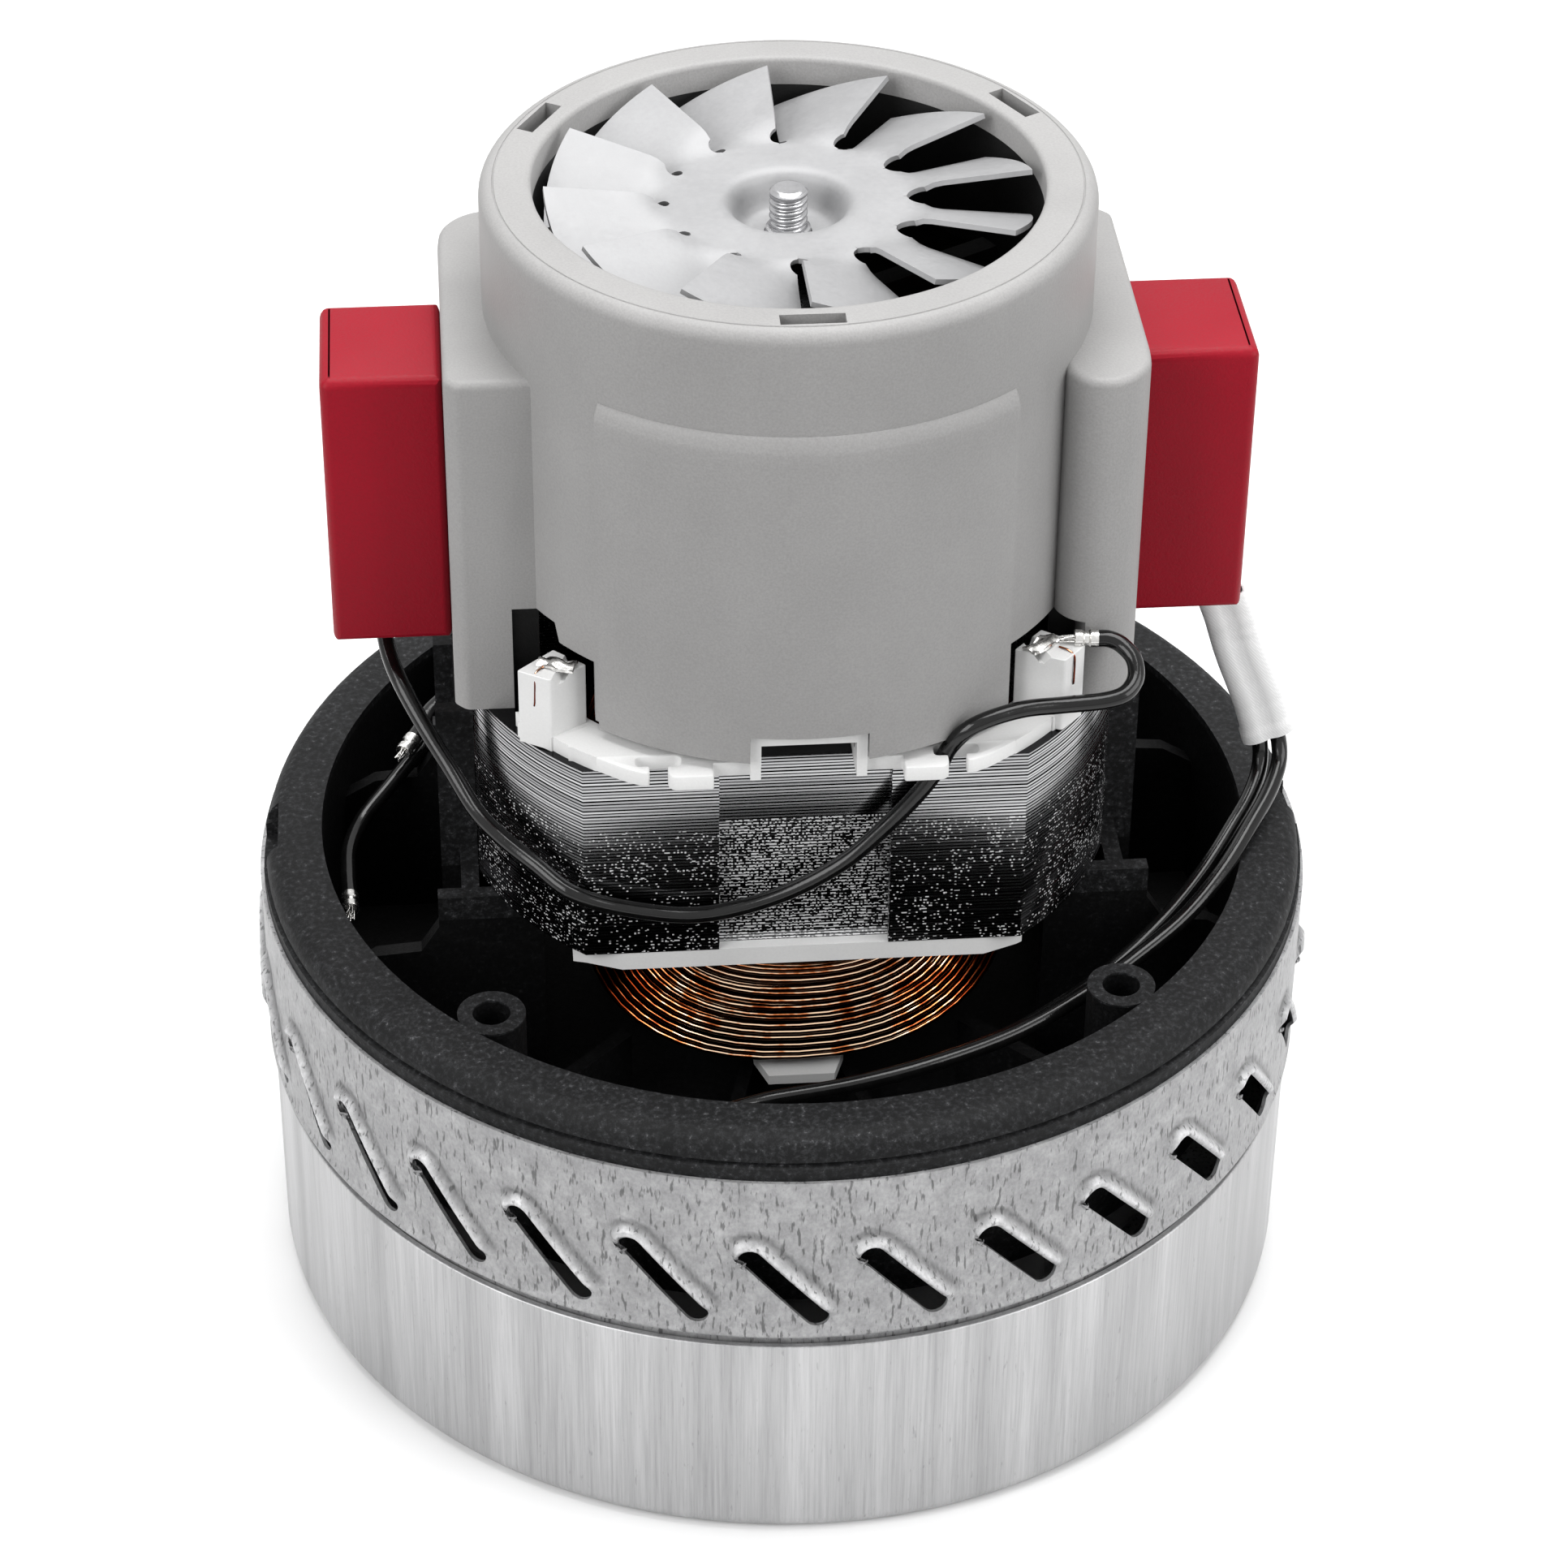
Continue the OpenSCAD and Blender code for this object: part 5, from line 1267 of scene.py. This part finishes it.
def coverBody(plan):
    # rings of points; a radius of None follows the panels
    angles = set(range(0, 360, 3))
    for edge in (-plan["panelHalf"], plan["panelHalf"]):
        for middle in (90, 270):
            inner = -1 if edge > 0 else 1
            for step in (-0.25, 0, 0.06, 0.16, 0.3, 0.5, 0.75, 1.0, 1.4):
                angles.add(round(middle + edge + inner * step, 4))
    angles = sorted(a % 360 for a in angles)
    top, opening, shoulder = plan["top"], plan["openingR"], plan["shoulder"]
    slope = (1, 0.8, 0.6, 0.42, 0.27, 0.14, 0.05, 0.012, 0, -0.05)
    heights = [plan["low"], 106, 108, 112, 118, 124, 130, 136, 142, 146, 148.5]
    heights += [plan["panelTop"] - plan["panelSlope"] * k for k in slope] + [154, 158, 162, top - shoulder]
    profile = [(None, z) for z in heights]
    for k in range(1, 8):
        a = math.pi / 2 * k / 8
        profile.append((plan["radius"] - shoulder * (1 - math.cos(a)), top - shoulder * (1 - math.sin(a))))
    profile += [(37.5, top - 0.02), (37.42, top - 0.14), (37.3, top - 0.14), (37.22, top)]
    profile += [(opening + out, top - down) for out, down in ((0.9, 0), (0.45, 0.08), (0.15, 0.3), (0, 0.7))]
    profile += [(opening, plan["ductZ"]), (opening + 1.6, plan["ductZ"]), (opening + 1.6, top - 4),
                (plan["innerR"], top - 4), (plan["innerR"], plan["low"])]
    verts = []
    for r, z in profile + profile[:1]:
        for degrees in angles:
            a = math.radians(degrees)
            here = panelRadius(plan, a, z) if r is None else r
            verts.append((here * math.cos(a), here * math.sin(a), z))
    return toolPiece("commutatorCover", verts, gridFaces(len(profile) + 1, len(angles), wrap=True))


def makeCover(plan):
    cover = coverBody(plan)
    outline = roundedProfile(plan["ear"])
    big = plan["earRound"]
    levels = [(plan["stackTop"], 0.0), (plan["earTop"] - big, 0.0)]
    levels += [(plan["earTop"] - big * (1 - math.sin(a)), big * (1 - math.cos(a)))
               for a in (math.pi / 2 * k / 5 for k in range(1, 6))]
    circle = [(x, y) for x, y, z in ringPoints([(plan["hollowR"], 0)], evenAngles(120))]
    for turn in (1, -1):
        verts, faces = prismRings(outline, levels)
        ear = toolPiece("ear", [(x * turn, y * turn, z) for x, y, z in verts], faces)
        combine(ear, toolPiece("earHollow", *prismRings(circle, [(95, 0), (160, 0)])), "DIFFERENCE")
        combine(cover, ear, "UNION")
    seat = plan["seat"] + plan["seat"][:1]
    verts = ringPoints(seat, evenAngles(72))
    combine(cover, toolPiece("bearingSeat", verts, gridFaces(len(seat), 72, wrap=True)), "UNION")
    for degrees in range(30, 390, 60):
        spoke = prismRings(radialBar(degrees, *plan["spoke"]), plan["spokeLevels"])
        combine(cover, toolPiece("spoke", *spoke), "UNION")
    combine(cover, blockPiece("coverCuts", plan["cuts"]), "DIFFERENCE")
    for across in (1, -1):
        for along in (1, -1):
            points = [(x * across, z) for x, z in plan["rightWindow" if across * along < 0 else "leftWindow"]]
            verts = [(x, y * along, z) for y in (16, 48) for x, z in points]
            count = len(points)
            faces = gridFaces(2, count, wrap=True) + [tuple(range(count)), tuple(range(count, 2 * count))]
            combine(cover, toolPiece("window", verts, faces), "DIFFERENCE")
    for degrees in (-90, 30, 150):
        slot = prismRings(radialBar(degrees, *plan["ribSlot"]), plan["ribSlotLevels"])
        combine(cover, toolPiece("ribSlot", *slot), "DIFFERENCE")
    settle(cover, "housing", "grey_moulding", ["commutator_cover"])
    smoothByAngle(cover, 38)


makeCover(coverPlan)
print("commutator cover moulded")


# sleeve over the two leads: flattened glass cloth with creases and a folded cuff

sleevePlan = {"top": (59.4, 0, 100.2), "foot": (67.6, 0, 77.0), "halfTop": (3.3, 1.6), "halfFoot": (3.6, 1.85),
              "cuff": 1.6, "cuffRise": 0.22, "flat": (0.62, 0.7), "dip": 0.34, "dipHalf": 0.9, "creases": 6,
              "creaseHalf": 0.02, "sway": 0.12, "sheet": 0.28, "rows": 46, "columns": 48, "seed": 3}


def makeSleeve(plan):
    chance = random.Random(plan["seed"])
    top, foot = Vector(plan["top"]), Vector(plan["foot"])
    down = (foot - top).normalized()
    side = Vector((-down.z, 0, down.x))
    front = Vector((0, -1, 0))
    creases = [(chance.uniform(0.1, 0.9), chance.uniform(-1.2, 1.2), chance.uniform(0.06, 0.16))
               for _ in range(plan["creases"])]
    verts = []
    length = (foot - top).length
    for i in range(plan["rows"] + 1):
        t = i / plan["rows"]
        half = Vector(plan["halfTop"]).lerp(Vector(plan["halfFoot"]), t)
        toEnd = length * (1 - t)
        cuff = plan["cuffRise"] * smoothStep(plan["cuff"] + 0.25, plan["cuff"], toEnd)
        for j in range(plan["columns"]):
            a = 2 * math.pi * j / plan["columns"]
            x = math.copysign(abs(math.cos(a)) ** plan["flat"][0], math.cos(a)) * (half.x + cuff)
            y = math.copysign(abs(math.sin(a)) ** plan["flat"][1], math.sin(a)) * (half.y + cuff)
            if y > 0:                                   # the front sinks between the two leads
                y -= plan["dip"] * math.exp(-(x / plan["dipHalf"]) ** 2)
            for place, slant, much in creases:
                away = (t - place - 0.05 * slant * x / 3) / plan["creaseHalf"]
                y -= much * math.exp(-away ** 2) * (1 if y > 0 else -1)
            x += plan["sway"] * math.sin(9 * t + 1.3) * smoothStep(0, 0.2, t)
            verts.append(tuple(top + down * length * t + side * x + front * y))
    sleeve = newPiece("leadSleeve", verts, gridFaces(plan["rows"] + 1, plan["columns"], wrap=True),
                      "housing", "white_sleeving", ["lead_sleeve"])
    smoothByAngle(sleeve, 60)
    thickened(sleeve, plan["sheet"])


makeSleeve(sleevePlan)
print("sleeve folded")


# brush springs: wound wire

springPlan = {"turns": 9, "wireR": 0.28, "around": 16, "corners": 8, "travel": 8.0, "fixedEnd": 56.5}


def makeSpring(name, plan):
    low, high = [Vector(corner) * 1000 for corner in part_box(name + "_brush_spring")]
    middle, length, wire = (low + high) / 2, high.x - low.x, plan["wireR"]
    radius = (high.y - low.y) / 2 - wire
    steps = plan["turns"] * plan["around"]
    verts = []
    for i in range(steps + 1):
        a = 2 * math.pi * i / plan["around"]
        for k in range(plan["corners"]):
            b = 2 * math.pi * k / plan["corners"]
            out = radius + wire * math.cos(b)
            verts.append((low.x + wire + (length - 2 * wire) * i / steps - wire * math.sin(b),
                          middle.y + out * math.cos(a), middle.z + out * math.sin(a)))
    faces = gridFaces(steps + 1, plan["corners"], wrap=True)
    faces += [tuple(range(plan["corners"] - 1, -1, -1)), tuple(range(len(verts) - plan["corners"], len(verts)))]
    spring = newPiece(name + "BrushSpring", verts, faces, "housing", "bright_steel",
                      [name + "_brush_spring"])
    smoothByAngle(spring, 60)
    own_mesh(spring)


makeSpring("left", springPlan)
makeSpring("right", springPlan)
print("brush springs wound")


# floor, light and world

studio = {
    "floorSeen": 0.88, "floorBounce": 0.36, "world": 0.35, "aim": (0, 0, 80),
    "lights": [("keyLight", (-620, -460, 560), 560, 5.0), ("fillLight", (660, -400, 460), 600, 4.2),
               ("topLight", (60, 160, 900), 700, 9.5)],                              # place, size and watts
}


def areaLight(aim, name, at, size, watts):
    light = bpy.data.lights.new(name, "AREA")
    light.energy = watts
    light.size = size / 1000
    lamp = bpy.data.objects.new(name, light)
    scene.collection.objects.link(lamp)
    lamp.location = inMetres(at)
    lamp.rotation_mode = "QUATERNION"
    lamp.rotation_quaternion = (inMetres(aim) - lamp.location).to_track_quat("-Z", "Y")


def seenOrMirrored(tree):
    # 1 for what the camera sees, straight or in a shiny or clear surface
    path = tree.nodes.new("ShaderNodeLightPath")
    seen = mathNode(tree, "MAXIMUM", path.outputs["Is Camera Ray"], path.outputs["Is Glossy Ray"])
    return mathNode(tree, "MAXIMUM", seen, path.outputs["Is Transmission Ray"])


def buildStudio(plan):
    mesh = bpy.data.meshes.new("studioFloor")
    mesh.from_pydata([(-4, -4, 0), (4, -4, 0), (4, 4, 0), (-4, 4, 0)], [], [(0, 1, 2, 3)])
    floor = bpy.data.objects.new("studioFloor", mesh)
    scene.collection.objects.link(floor)
    floor.location.z = -0.0002
    bounce, pale = plan["floorBounce"], plan["floorSeen"]
    material, tree, shader = newFinish("paleFloor", (pale, pale, pale), 0.85, specular=0.2)
    faint = ramp(tree, cloud(tree, (0.01, 0.01, 0.01), 2.0), [(0.3, pale * 0.985), (0.7, pale)])
    paint(tree, shader, blendColors(tree, (bounce, bounce, bounce), faint, seenOrMirrored(tree)))
    mesh.materials.append(material)
    for lamp in plan["lights"]:
        areaLight(plan["aim"], *lamp)
    world = bpy.data.worlds.new("studioWorld")
    scene.world = world
    world.use_nodes = True
    tree = world.node_tree
    back = tree.nodes["Background"]
    seen = mathNode(tree, "MULTIPLY", seenOrMirrored(tree), 1 - plan["world"])
    back.inputs["Color"].default_value = (1, 1, 1, 1)
    tree.links.new(mathNode(tree, "ADD", seen, plan["world"]), back.inputs["Strength"])


buildStudio(studio)
scene.view_settings.view_transform = "Standard"
print("studio lit")
